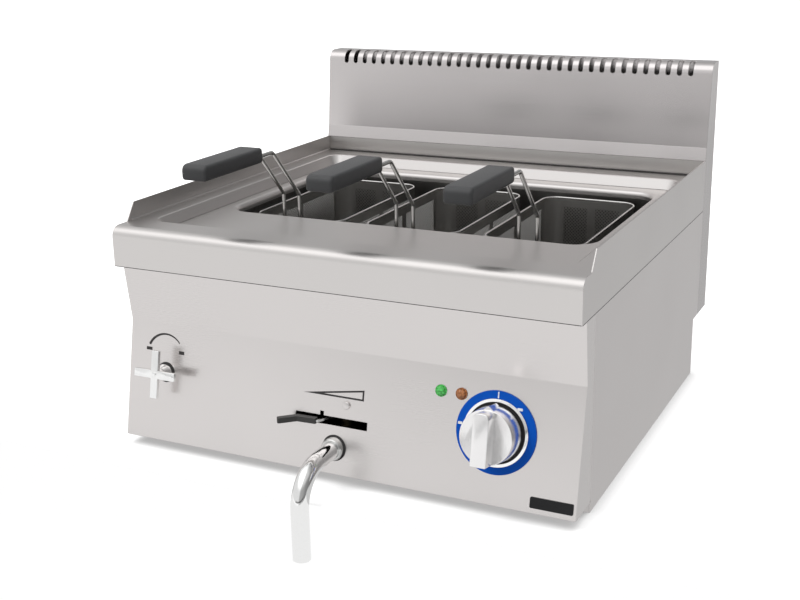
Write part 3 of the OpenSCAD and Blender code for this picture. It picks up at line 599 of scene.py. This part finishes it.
def makeShell(side):
    low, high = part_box(f"basket_{side}_shell")
    size, centre = high - low, (low + high) / 2
    margin, band, wall, over = (basket[key] for key in ("margin", "band", "wall", "overlap"))
    shell = makeFrame(low, high)
    foot, top = low.z + basket["footRound"] + margin, high.z - basket["collar"]
    height, level = top - foot, (top + foot) / 2
    longWidth, shortWidth = (size[axis] / 2 - basket["corner"] - margin - band / 2 for axis in (1, 0))
    longTurn = Matrix(((0, 0, 1, 0), (1, 0, 0, 0), (0, 1, 0, 0), (0, 0, 0, 1)))
    shortTurn = Matrix(((1, 0, 0, 0), (0, 0, -1, 0), (0, 1, 0, 0), (0, 0, 0, 1)))
    longField = perforatedField("long_field", longWidth + 2 * over, height + 2 * over, basket["pitch"])
    settle(longField, longTurn)
    shortField = perforatedField("short_field", shortWidth + 2 * over, height + 2 * over, basket["pitch"])
    settle(shortField, shortTurn)
    parts = []
    for sign in (-1, 1):
        for end in (-1, 1):
            longSpot = (sign * (size.x - wall) / 2, end * (band + longWidth) / 2)
            shortSpot = (end * (band + shortWidth) / 2, sign * (size.y - wall) / 2)
            for field, (x, y) in ((longField, longSpot), (shortField, shortSpot)):
                parts.append(shiftedCopy(field, "field", (centre.x + x, centre.y + y, level)))
    border = 2 * basket["floorBorder"]
    floorField = perforatedField("floor_field", size.x - border, size.y - border, basket["floorPitch"])
    floorLevel = low.z + wall + basket["sheet"] / 2
    parts.append(settle(floorField, Matrix.Translation((centre.x, centre.y, floorLevel))))
    for spare in (longField, shortField):
        bpy.data.objects.remove(spare)
    return smoothed(joined(shell, *parts))


# basket handles: two bent wires and the strap that ties them to the rim

handle = {
    "wire": 0.0025, "apart": 0.0117,
    "strapDepth": 0.0041, "strapHeight": 0.012, "strapRound": 0.0012,
    "ahead": 0.002,      # of the wires' middle before the strap
    "reach": 0.061,      # from the upright wire forward to the elbow
    "kneeDrop": 0.0665,  # of the knee below the level run
    "kneeBend": 0.007, "elbowBend": 0.009,
}
stub = 0.002   # length of a curve handle along a straight run


def bentWire(name, corners, bends, radius, fine=3, closed=True):   # rod along straight runs with round bends
    points = [(corners[0], corners[0], corners[0])]
    for before, corner, after, bend in zip(corners, corners[1:], corners[2:], bends):
        inward, outward = (corner - before).normalized(), (after - corner).normalized()
        turn = inward.angle(outward)
        back = bend * math.tan(turn / 2)
        pull = bend * 4 / 3 * math.tan(turn / 4)
        first, last = corner - back * inward, corner + back * outward
        points.append((first - stub * inward, first, first + pull * inward))
        points.append((last - pull * outward, last, last + stub * outward))
    points.append((corners[-1], corners[-1], corners[-1]))
    freshStart()
    bpy.ops.curve.primitive_bezier_curve_add()
    wire = named(name)
    wire.data.bevel_depth = radius
    wire.data.bevel_resolution = fine
    wire.data.resolution_u = 2 + 2 * fine
    wire.data.use_fill_caps = closed
    wire.data.dimensions = "3D"
    spline = wire.data.splines[0]
    spline.bezier_points.add(len(points) - 2)
    for knot, (left, spot, right) in zip(spline.bezier_points, points):
        knot.handle_left_type = knot.handle_right_type = "FREE"
        knot.handle_left, knot.co, knot.handle_right = left, spot, right
    makeActive(wire)
    bpy.ops.object.convert(target="MESH")
    return settle(named(name))


def makeHandle(side):
    low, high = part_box(f"basket_{side}_handle")
    middle, wire = (low.x + high.x) / 2, handle["wire"]
    deep, tall = handle["strapDepth"], handle["strapHeight"]
    uprightY = high.y - deep - handle["ahead"]
    levelZ = high.z - wire
    corners = [Vector((0, uprightY, low.z)), Vector((0, uprightY, levelZ - handle["kneeDrop"])),
               Vector((0, uprightY - handle["reach"], levelZ)), Vector((0, low.y, levelZ))]
    path = bentWire("handle_wire", corners, (handle["kneeBend"], handle["elbowBend"]), wire)
    pair = [shiftedCopy(path, "wire", (middle + sign * handle["apart"], 0, 0)) for sign in (-1, 1)]
    bpy.data.objects.remove(path)
    strap = addBlock("strap", (high.x - low.x, deep, tall), (middle, high.y - deep / 2, low.z + tall / 2))
    bevelPicked(strap, lambda a, b: True, handle["strapRound"])
    return smoothed(joined(strap, *pair))


# moulded grips

grip = {
    "nose": 0.008, "noseSteps": 6,   # rolls over the free end
    "edge": 0.004, "edgeSteps": 4,
    "sharp": 0.7,                    # radians, edges past it are rounded
}


def makeGrip(side):
    low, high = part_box(f"basket_{side}_grip")
    block = addBox("grip", low, high)
    bevelPicked(block, lambda a, b: max(a.y, b.y) < low.y + touch and min(a.z, b.z) > high.z - touch,
                grip["nose"], grip["noseSteps"])
    useModifier(block, "BEVEL", width=grip["edge"], segments=grip["edgeSteps"],
                limit_method="ANGLE", angle_limit=grip["sharp"])
    return smoothed(block, degrees=50)


basketParts = {
    "shell": (makeShell, basketSteel, "basket_steel"),
    "handle": (makeHandle, wireSteel, "wire_steel"),
    "grip": (makeGrip, gripPlastic, "grip_plastic"),
}
for node, (make, material, slot) in basketParts.items():
    first = make("left")
    first.name = f"{node}_left"
    pieces = {"left": first}
    for side in ("middle", "right"):
        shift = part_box(f"basket_{side}_{node}")[0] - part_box(f"basket_left_{node}")[0]
        pieces[side] = shiftedCopy(first, f"{node}_{side}", shift)
    for side, piece in pieces.items():
        finishPiece(piece, f"basket_{side}", slot, material, f"basket_{side}_{node}")
print("baskets built")


# regulator knob: skirt, face, bar and pointer in one skin, about its own axis

knob = {
    "skirt": 0.032, "face": 0.0309, "low": 0.007, "high": 0.033, "sides": 72,
    "faceBorder": 0.0018, "faceRound": 0.0012, "dish": 0.0006,
    "barHalf": 0.0093, "barReach": 0.0296, "barLow": 0.029, "barTop": 0.051,
    "headRound": 0.0065, "headSteps": 6, "footRound": 0.0012, "barEdge": 0.001, "edgeSteps": 3,
    "pointerHalf": 0.011, "pointerTip": 0.0344, "pointerTop": 0.0305, "pointerDeep": 0.008,
    "tipShare": 0.05,   # of the pointer's width, left at its tip
}


def makeKnob():
    low, high, steps = knob["low"], knob["high"], knob["edgeSteps"]
    freshStart()
    bpy.ops.mesh.primitive_cone_add(vertices=knob["sides"], radius1=knob["skirt"], radius2=knob["face"],
                                    depth=high - low, location=(0, 0, (high + low) / 2))
    skirt = settle(named("knob_piece"))
    dished(skirt, knob["faceBorder"], knob["dish"])
    bevelPicked(skirt, above(high), knob["faceRound"], steps)
    half, reach = knob["barHalf"], knob["barReach"]
    bar = addBox("bar", (-half, -reach, knob["barLow"]), (half, reach, knob["barTop"]))
    bevelPicked(bar, lambda a, b: isUpright(a, b) and a.y > 0, knob["headRound"], knob["headSteps"])
    bevelPicked(bar, lambda a, b: isUpright(a, b) and a.y < 0, knob["footRound"], steps)
    bevelPicked(bar, above(knob["barTop"]), knob["barEdge"], steps)
    half, tip = knob["pointerHalf"], knob["pointerTip"]
    pointer = addBox("pointer", (-half, tip - knob["pointerDeep"], low), (half, tip, knob["pointerTop"]))
    pick(pointer, "VERT", lambda spot: spot.y > tip - touch)
    bpy.ops.transform.resize(value=(knob["tipShare"], 1, 1))
    doneEditing()
    return smoothed(fused(skirt, bar, pointer), degrees=32)


finishPiece(settle(makeKnob(), knobPlace), "knob_unit", "silver_plastic", knobSilver, "knob")


# dial marks: plain bars printed on the blue ring

dialMarks = {
    "thick": 0.0002, "lift": 0.0015, "corner": 0.0004,
    "bars": (((0.0, 0.0428), (0.0014, 0.0075)), ((0.0262, 0.0303), (0.0062, 0.0030)),
             ((-0.0432, 0.0048), (0.0050, 0.0030))),
}


def makeDialMarks():
    thick = dialMarks["thick"]
    bars = []
    for (x, y), (wide, high) in dialMarks["bars"]:
        bar = addBlock("mark", (wide, high, thick), (x, y, dialMarks["lift"] + thick / 2))
        bevelPicked(bar, isUpright, dialMarks["corner"])
        bars.append(bar)
    printed = joined(*bars)
    printed.name = "dial_marks"
    return printed


finishPiece(settle(makeDialMarks(), knobPlace), "cabinet", "pale_plastic", whitePrint)
print("dial built")


# cross handle of the tap, about its own axis

cross = {
    "core": 0.0105, "length": 0.060, "low": 0.0205, "high": 0.0255, "edge": 0.0008,
    "hub": 0.007, "hubLow": 0.014, "hubEdge": 0.0006, "hubSides": 40,
    "cap": 0.0033, "capHigh": 0.0006, "capEdge": 0.0005, "capSides": 32,
    "sunk": 0.001,   # hub and cap reach into the arms
}


def makeCross():
    core, low, high = cross["core"], cross["low"], cross["high"]
    half = core / 2
    piece = addBlock("tap_cross_piece", (core, core, high - low), (0, 0, (low + high) / 2))
    for outward in ((1, 0, 0), (-1, 0, 0), (0, 1, 0), (0, -1, 0)):
        way = Vector(outward)
        pick(piece, "FACE", lambda spot, normal: normal.dot(way) > faceOn and spot.dot(way) > half - touch
             and abs(spot.cross(way).z) < touch)
        bpy.ops.mesh.extrude_region_move(TRANSFORM_OT_translate={"value": way * (cross["length"] / 2 - half)})
    doneEditing()
    bevelPicked(piece, lambda a, b: max(a.xy.length, b.xy.length) > core, cross["edge"])
    hub = addRod("hub", cross["hub"], cross["hubLow"], low + cross["sunk"], cross["hubSides"])
    bevelPicked(hub, lambda a, b: abs(a.z - b.z) < touch, cross["hubEdge"])
    cap = addRod("cap", cross["cap"], high - cross["sunk"], high + cross["capHigh"], cross["capSides"])
    bevelPicked(cap, above(high + cross["capHigh"]), cross["capEdge"])
    return smoothed(joined(piece, hub, cap), degrees=35)


finishPiece(settle(makeCross(), tapPlace), "tap_unit", "polished", satinChrome, "tap_cross")
print("tap built")


# pressed slope round the recess of the worktop, folds at the feet of the upstands, foot of the splashback

press = {
    "half": 0.2737, "front": -0.2527, "rear": 0.2137, "corner": 0.0185, "cornerSteps": 8,
    "top": 0.2842, "run": 0.0065, "drop": 0.013, "sheet": 0.0005,
    "upstand": 0.0015,   # thickness
    "fold": 0.0022, "foldFrom": -0.262, "foldTo": 0.248, "foldLevel": 0.285, "foldSteps": 5,
    "foldRound": 0.95,   # share of the fold
    "hemHigh": 0.018, "hemProud": 0.0011, "hemSheet": 0.0007,   # doubled hem at the foot of the splashback
    "lean": 6,           # degrees
    "footGap": 0.0012, "footSheet": 0.0004,   # facing of the foot below the hem
    "edgeShare": 0.4,    # of a sheet, rounded at its edge
}


def makeSlope():
    front, rear = press["front"], press["rear"]
    slope = addPlane("recess_slope", 2 * press["half"], rear - front, (0, (rear + front) / 2, press["top"]))
    editAll(slope)
    bpy.ops.mesh.bevel(offset=press["corner"], segments=press["cornerSteps"], affect="VERTICES")
    bpy.ops.mesh.inset(thickness=press["run"])
    bpy.ops.transform.translate(value=(0, 0, -press["drop"]))
    bpy.ops.mesh.delete(type="FACE")
    doneEditing()
    useModifier(slope, "SOLIDIFY", thickness=press["sheet"], offset=0)
    return smoothed(slope, degrees=50)


def makeFolds():
    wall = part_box("worktop")[1].x - press["upstand"]
    fold, level, front, rear = (press[key] for key in ("fold", "foldLevel", "foldFrom", "foldTo"))

    def isRidge(a, b):
        return max(abs(a.x), abs(b.x)) < wall - fold + touch and min(a.z, b.z) > level + touch

    folds = []
    for side in (-1, 1):
        spot = (side * (wall - fold / 2), (rear + front) / 2, level + fold / 2)
        strip = addBlock("upstand_folds", (fold, rear - front, fold), spot)
        bevelPicked(strip, isRidge, fold * press["foldRound"], press["foldSteps"])
        folds.append(strip)
    return smoothed(joined(*folds))


def makeHem():
    low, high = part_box("worktop")
    foot = Vector((0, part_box("splashback")[0].y, high.z))
    rise, thick = press["hemHigh"], press["hemSheet"]
    hem = addBlock("splashback_hem", (high.x - low.x, thick, rise), foot + Vector((0, -thick / 2, rise / 2)))
    pick(hem, "VERT", lambda spot: spot.z > foot.z + rise / 2)
    bpy.ops.transform.translate(value=(0, rise * math.tan(math.radians(press["lean"])) + thick / 2, 0))
    pick(hem, "VERT", lambda spot: spot.z < foot.z + rise / 2)
    bpy.ops.transform.translate(value=(0, -press["hemProud"], 0))
    doneEditing()
    bevelPicked(hem, lambda a, b: max(a.z, b.z) < foot.z + touch and max(a.y, b.y) < foot.y - thick,
                thick * press["edgeShare"])
    return smoothed(hem, degrees=30)


def makeFacing():
    low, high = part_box("worktop")
    front, thick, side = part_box("splashback")[0].y, press["footSheet"], press["upstand"]
    foot = press["foldLevel"] + press["footGap"]
    facing = addBox("splashback_facing", (low.x + side, front - thick, foot), (high.x - side, front, high.z))
    bevelPicked(facing, lambda a, b: max(a.y, b.y) < front - thick + touch, thick * press["edgeShare"])
    return smoothed(facing, degrees=30)


finishPiece(makeHem(), "cabinet", "steel", backSteel)
finishPiece(makeFacing(), "cabinet", "steel", footSteel)
finishPiece(makeSlope(), "cabinet", "steel", topSteel)
finishPiece(makeFolds(), "cabinet", "steel", topSteel)
print("worktop pressed")


# drain tube with an open mouth

spout = {"wall": 0.00265, "bend": 0.043, "fine": 12, "lipRound": 0.0007, "ringSlack": 0.001}


def makeSpout():
    low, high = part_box("drain_spout")
    radius = (high.x - low.x) / 2
    levelZ, dropY = high.z - radius, low.y + radius
    corners = [Vector((0, high.y, levelZ)), Vector((0, dropY, levelZ)), Vector((0, dropY, low.z))]
    tube = bentWire("drain_spout_piece", corners, (spout["bend"],), radius, spout["fine"], closed=False)
    useModifier(tube, "SOLIDIFY", thickness=spout["wall"], offset=-1)

    def roundMouth(a, b):
        return max(a.z, b.z) < low.z + touch and abs(a.length - b.length) < spout["ringSlack"]

    bevelPicked(tube, roundMouth, spout["lipRound"])
    return smoothed(tube)


finishPiece(makeSpout(), "cabinet", "polished", chrome, "drain_spout")
print("spout bent")


# round plug in the panel, a shallow button

plug = {"edge": 0.0014, "edgeSteps": 5, "sides": 48}


def makePlug():
    low, high = onPanel("panel_plug")
    middle = (low + high) / 2
    button = addRod("panel_plug_piece", (high.x - low.x) / 2, low.z, high.z, plug["sides"])
    bevelPicked(button, above(high.z), plug["edge"], plug["edgeSteps"])
    return settle(smoothed(button, degrees=60), panelPlace @ Matrix.Translation((middle.x, middle.y, 0)))


finishPiece(makePlug(), "cabinet", "steel", frontSteel, "panel_plug")
print("plug pressed in")


# painted shade in the clearances round the knob, the bonnet and the collar, and along the folded seams of the
# sheets

gaps = {
    "lift": 0.00012, "thick": 0.0001, "sides": 96,
    "knobRing": (0.004, 0.0352), "bonnetRing": (0.0100, 0.0128), "collarRing": (0.0130, 0.0157),
    "seam": 0.0008, "proud": 0.00006, "sunk": 0.0008,
    "footLevel": 0.2848,   # where the worktop meets the splashback
}


def flatRing(x, y, inner, outer):
    spot = (x, y, gaps["lift"])
    ring = joined(*[addCircle("ring", gaps["sides"], radius, spot) for radius in (outer, inner)])
    editAll(ring)
    bpy.ops.mesh.bridge_edge_loops()
    bpy.ops.mesh.normals_make_consistent(inside=False)
    doneEditing()
    useModifier(ring, "SOLIDIFY", thickness=gaps["thick"], offset=0)
    return ring


def makeGaps():
    knobSpot, bonnetSpot = (panelPlace.inverted() @ place.translation for place in (knobPlace, tapPlace))
    collarLow, collarHigh = onPanel("drain_collar")
    spoutLow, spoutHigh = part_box("drain_spout")
    collarX = (collarLow.x + collarHigh.x) / 2
    collarY = (spoutHigh.z - (spoutHigh.x - spoutLow.x) / 2 - panelLow.z) / math.cos(panelTilt)
    # flat dark rings: painted shadow under the knob, painted shade in the clearances of the bonnet and the
    # collar
    rings = [flatRing(knobSpot.x, knobSpot.y, *gaps["knobRing"]),
             flatRing(bonnetSpot.x, bonnetSpot.y, *gaps["bonnetRing"]),
             flatRing(collarX, collarY, *gaps["collarRing"])]
    piece = settle(joined(*rings), panelPlace)
    low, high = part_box("worktop")
    seam, proud, sunk, foot = (gaps[key] for key in ("seam", "proud", "sunk", "footLevel"))
    # dark strips: painted shade along the seams under the lip, at the foot of the splashback and down the
    # sides
    ends = [((low.x + sunk, low.y - proud, low.z), (high.x - sunk, low.y + sunk, low.z + seam)),
            ((low.x + 2 * sunk, high.y - 3 * sunk, foot),
             (high.x - 2 * sunk, high.y - sunk, foot + 2 * seam))]
    for side in (-1, 1):
        inner, outer = sorted((side * (high.x - sunk), side * (high.x + proud)))
        ends.append(((inner, low.y + 2 * sunk, low.z - seam / 2), (outer, high.y, low.z + seam / 2)))
    piece = joined(piece, *[addBox("seam", *pair) for pair in ends])
    piece.name = "painted_gap_shade"
    return piece


finishPiece(makeGaps(), "cabinet", "dark_plastic", darkPrintAndShade)
print("gaps darkened")


# lamps: flange and faceted dome

lamp = {
    "flange": 0.007, "flangeLow": -0.0004, "flangeHigh": 0.0015, "flangeEdge": 0.0004, "sides": 48,
    "moat": 0.0005,   # depth of the step round the dome
    "dome": 0.0056, "domeLow": 0.0004, "domeFoot": 0.0016, "facets": 12,
    "tiers": ((0.86, 0.0014), (0.55, 0.0010), (0.2, 0.0005)),   # share of the width left, and rise
}
lampLenses = {"lamp_green": greenLens, "lamp_orange": orangeLens}


def makeLamp(name):
    flange = addRod(name + "_piece", lamp["flange"], lamp["flangeLow"], lamp["flangeHigh"], lamp["sides"])
    dished(flange, lamp["flange"] - lamp["dome"], lamp["moat"])
    bevelPicked(flange, above(lamp["flangeHigh"]), lamp["flangeEdge"])
    dome = addRod("dome", lamp["dome"], lamp["domeLow"], lamp["domeFoot"], lamp["facets"])
    for share, rise in lamp["tiers"]:
        pick(dome, "FACE", looksUp)
        bpy.ops.mesh.extrude_region_move(TRANSFORM_OT_translate={"value": (0, 0, rise)})
        bpy.ops.transform.resize(value=(share, share, 1))
    doneEditing()
    return joined(smoothed(flange, degrees=35), dome)


for name, lens in lampLenses.items():
    piece = makeLamp(name)
    low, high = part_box(name)
    flat = panelPlace.inverted() @ ((low + high) / 2)
    settle(piece, panelPlace @ Matrix.Translation((flat.x, flat.y, 0)))
    finishPiece(piece, "cabinet", name.replace("lamp_", "") + "_lens", lens, name)
print("lamps built")


# plain plate in the badge's place: a raised border round a bare field

badge = {"corner": 0.0016, "cornerSteps": 4, "border": 0.0009, "sunk": 0.0003, "edge": 0.0002}


def makeBadge():
    low, high = onPanel("badge_plate")
    plate = addBox("badge_piece", low, high)
    bevelPicked(plate, isUpright, badge["corner"], badge["cornerSteps"])
    dished(plate, badge["border"], badge["sunk"])
    bevelPicked(plate, above(high.z), badge["edge"])
    return smoothed(plate, degrees=35)


finishPiece(settle(makeBadge(), panelPlace), "cabinet", "black_plate", badgeBlack, "badge_plate")
print("badge built")


# printed marks on the panel: a swelling arc over the tap and an open wedge over the lever, no words

marks = {
    "thick": 0.00015, "barLevel": 0.75,   # share of the thickness
    "arcCentre": (-0.24681, 0.10906), "arcRadius": 0.0269, "arcThick": 0.0034, "arcThin": 0.0010,
    "arcFrom": 40, "arcTo": 155, "arcSides": 120,
    "wedge": ((-0.045, 0.0926), (0.035, 0.1056), (0.035, 0.0927)), "line": 0.0021,
    "bars": (((-0.2716, 0.1150), (0.0086, 0.0040)), ((-0.2228, 0.1150), (0.0078, 0.0042))),
}


def makeArc():
    x, y = marks["arcCentre"]
    radius, sides, level = marks["arcRadius"], marks["arcSides"], marks["thick"]
    slip = (marks["arcThick"] - marks["arcThin"]) / 2   # between the circles, so the arc swells to the left
    mean = (marks["arcThick"] + marks["arcThin"]) / 2
    outer = addCircle("panel_marks", sides, radius + mean / 2, (x - slip / 2, y, level))
    inner = addCircle("inner", sides, radius - mean / 2, (x + slip / 2, y, level))
    arc = joined(outer, inner)
    editAll(arc)
    bpy.ops.mesh.bridge_edge_loops()
    for degrees, sign in ((marks["arcFrom"], 1), (marks["arcTo"], -1)):
        angle = math.radians(degrees)
        away = (sign * math.sin(angle), -sign * math.cos(angle), 0)
        bpy.ops.mesh.select_all(action="SELECT")
        bpy.ops.mesh.bisect(plane_co=(x, y, 0), plane_no=away, clear_outer=True)
    doneEditing()
    return arc


def makeWedge():
    freshStart()
    bpy.ops.mesh.primitive_circle_add(vertices=len(marks["wedge"]), fill_type="NGON")
    wedge = settle(named("wedge"))
    for point, (x, y) in zip(wedge.data.vertices, marks["wedge"]):
        point.co = (x, y, marks["thick"])
    editAll(wedge)
    bpy.ops.mesh.normals_make_consistent(inside=False)
    bpy.ops.mesh.inset(thickness=marks["line"])
    bpy.ops.mesh.delete(type="FACE")
    doneEditing()
    return wedge


def makeMarks():
    thick = marks["thick"] / 2
    arc, wedge = makeArc(), makeWedge()
    barZ = marks["thick"] * marks["barLevel"]
    bars = [addBlock("bar", (wide, high, thick), (x, y, barZ)) for (x, y), (wide, high) in marks["bars"]]
    sheet = joined(arc, wedge)
    editAll(sheet)
    bpy.ops.mesh.normals_make_consistent(inside=False)
    doneEditing()
    useModifier(sheet, "SOLIDIFY", thickness=thick, offset=0)
    return joined(sheet, *bars)


finishPiece(settle(makeMarks(), panelPlace), "cabinet", "dark_plastic", darkPrintAndShade)
print("marks printed")


# studio: white table with its front edge behind the drain tube, a floor below, soft lamps

studio = {
    "tableFront": -0.362,
    "reach": 8.0,
    "floorDrop": -0.5,
    "tableTone": 0.5, "floorTone": 0.05,
    "nearWhite": 0.65,      # own light of the table beside the part, the lamps add the rest
    "fade": (0.75, 1.5),    # distances between which it grows to white
    "paintedShadow": 0.02,        # reach of the painted contact shadow, a dark line where the part meets the table
    "paintedShadowSamples": 8,
    "tableGloss": 0.63,     # what steel sees of the table's own light
    "floorGloss": 0.92,
    "worldLight": 0.68,     # for diffuse light
    "worldGloss": 0.8,      # what steel sees of a white world ahead
    "rearGloss": 0.58,      # share of it behind
    "bright": (-0.45, -0.80, 0.40), "brightFade": (-0.5, 0.6),   # towards the bright side
}


def seenStraight(tree, path):   # by the camera, also through glass
    return mathNode(tree, "MAXIMUM", path.outputs["Is Camera Ray"], path.outputs["Is Transmission Ray"])


def whiteFloor(name, tone, near, gloss):   # white to the camera, plain to steel, keeps the shadow, and a painted shadow dims its glow where the part meets it
    material = bpy.data.materials.new(name)
    material.use_nodes = True
    tree = material.node_tree
    tree.nodes.clear()
    out = tree.nodes.new("ShaderNodeOutputMaterial")
    plain = tree.nodes.new("ShaderNodeBsdfDiffuse")
    glow = tree.nodes.new("ShaderNodeEmission")
    both = tree.nodes.new("ShaderNodeAddShader")
    path = tree.nodes.new("ShaderNodeLightPath")
    glossy = path.outputs["Is Glossy Ray"]
    unseen = mathNode(tree, "SUBTRACT", 1.0, glossy)
    tree.links.new(mathNode(tree, "MULTIPLY", unseen, tone), plain.inputs["Color"])
    reach = tree.nodes.new("ShaderNodeVectorMath")
    reach.operation = "LENGTH"
    tree.links.new(objectSpot(tree), reach.inputs[0])
    paintedShadow = tree.nodes.new("ShaderNodeAmbientOcclusion")
    paintedShadow.samples = studio["paintedShadowSamples"]
    paintedShadow.inputs["Distance"].default_value = studio["paintedShadow"]
    shine = faded(tree, reach.outputs["Value"], studio["fade"], near, 1.0)
    # painted shadow: the glow dims close to the part
    shine = mathNode(tree, "MULTIPLY", shine, paintedShadow.outputs["AO"])
    mirrored = mathNode(tree, "MULTIPLY", glossy, gloss)
    strength = mathNode(tree, "MULTIPLY_ADD", shine, seenStraight(tree, path), mirrored)
    tree.links.new(strength, glow.inputs["Strength"])
    tree.links.new(plain.outputs["BSDF"], both.inputs[0])
    tree.links.new(glow.outputs["Emission"], both.inputs[1])
    tree.links.new(both.outputs["Shader"], out.inputs["Surface"])
    return material


def addFloor(name, frontEdge, height, material):
    reach = studio["reach"]
    floor = addPlane(name, 2 * reach, reach - frontEdge, (0, (frontEdge + reach) / 2, height))
    floor.data.materials.append(material)


tableWhite = whiteFloor("white_table", studio["tableTone"], studio["nearWhite"], studio["tableGloss"])
floorWhite = whiteFloor("white_floor", studio["floorTone"], 1.0, studio["floorGloss"])
addFloor("table", studio["tableFront"], 0.0, tableWhite)
addFloor("floor", -studio["reach"], studio["floorDrop"], floorWhite)


sky = (   # zones that keep a share of the gloss or add to it: axis of a fade, limits, 1 past them or 0 before
    {"share": 0.1, "fades": (("Z", (0.012, 0.024), 1), ("Z", (0.03, 0.12), 0),
                             ("X", (-0.48, -0.40), 1), ("Y", (-0.5, -0.2), 0))},   # band over the skyline
    {"extra": 0.9, "fades": (("Z", (0.45, 0.75), 1), ("Y", (-0.2, 0.2), 0))},      # from above, ahead
    {"extra": 0.36, "fades": (("Z", (0.0, 0.03), 0), ("Y", (-0.5, -0.2), 0))},     # along the skyline, ahead
    {"share": 0.47, "fades": (("X", (-0.2, 0.3), 1), ("Y", (-0.4, 0.0), 1))},      # to the right
    {"share": 0.5, "fades": (("X", (0.1, 0.4), 1), ("Y", (-0.3, 0.0), 0))},        # ahead to the right
)


def skyGloss(tree, where):   # what steel sees in each direction
    facing = tree.nodes.new("ShaderNodeVectorMath")
    facing.operation = "DOT_PRODUCT"
    facing.inputs[1].default_value = Vector(studio["bright"]).normalized()
    tree.links.new(where, facing.inputs[0])
    split = tree.nodes.new("ShaderNodeSeparateXYZ")
    tree.links.new(where, split.inputs["Vector"])
    gloss = faded(tree, facing.outputs["Value"], studio["brightFade"], studio["rearGloss"], 1.0)
    for zone in sky:
        inside = 1.0
        for axis, limits, past in zone["fades"]:
            fade = faded(tree, split.outputs[axis], limits, 1 - past, past)
            inside = mathNode(tree, "MULTIPLY", inside, fade)
        if "extra" in zone:
            gloss = mathNode(tree, "MULTIPLY_ADD", inside, zone["extra"], gloss)
        else:
            kept = mathNode(tree, "MULTIPLY_ADD", inside, zone["share"] - 1, 1.0)
            gloss = mathNode(tree, "MULTIPLY", gloss, kept)
    return mathNode(tree, "MULTIPLY", gloss, studio["worldGloss"])


def makeWorld():
    world = bpy.data.worlds.new("studio")
    bpy.context.scene.world = world
    world.use_nodes = True
    tree = world.node_tree
    tree.nodes.clear()
    out = tree.nodes.new("ShaderNodeOutputWorld")
    back = tree.nodes.new("ShaderNodeBackground")
    back.inputs["Color"].default_value = (1, 1, 1, 1)
    path = tree.nodes.new("ShaderNodeLightPath")
    where = tree.nodes.new("ShaderNodeTexCoord")
    straight, mirrored = seenStraight(tree, path), path.outputs["Is Glossy Ray"]
    bright = mathNode(tree, "MULTIPLY_ADD", mirrored, skyGloss(tree, where.outputs["Generated"]), straight)
    diffuse = mathNode(tree, "SUBTRACT", 1.0, mathNode(tree, "MAXIMUM", straight, mirrored))
    strength = mathNode(tree, "MULTIPLY_ADD", diffuse, studio["worldLight"], bright)
    tree.links.new(strength, back.inputs["Strength"])
    tree.links.new(back.outputs["Background"], out.inputs["Surface"])


lights = {   # the world holds what steel sees of them
    "key_lamp": {"spot": (-1.7, -2.0, 3.1), "size": 2.4, "power": 90},
    "fill_lamp": {"spot": (2.6, -1.4, 1.8), "size": 2.2, "power": 6},
    "top_lamp": {"spot": (0.0, 0.6, 3.0), "size": 3.2, "power": 90},
}
lightAim = Vector((0, 0, 0.2))


def addLight(name, setup):
    glow = bpy.data.lights.new(name, "AREA")
    glow.size = setup["size"]
    glow.energy = setup["power"]
    light = bpy.data.objects.new(name, glow)
    bpy.context.scene.collection.objects.link(light)
    light.location = setup["spot"]
    light.visible_glossy = False
    light.rotation_euler = (lightAim - Vector(setup["spot"])).to_track_quat("-Z", "Y").to_euler()


makeWorld()
for name, setup in lights.items():
    addLight(name, setup)
print("studio lit")
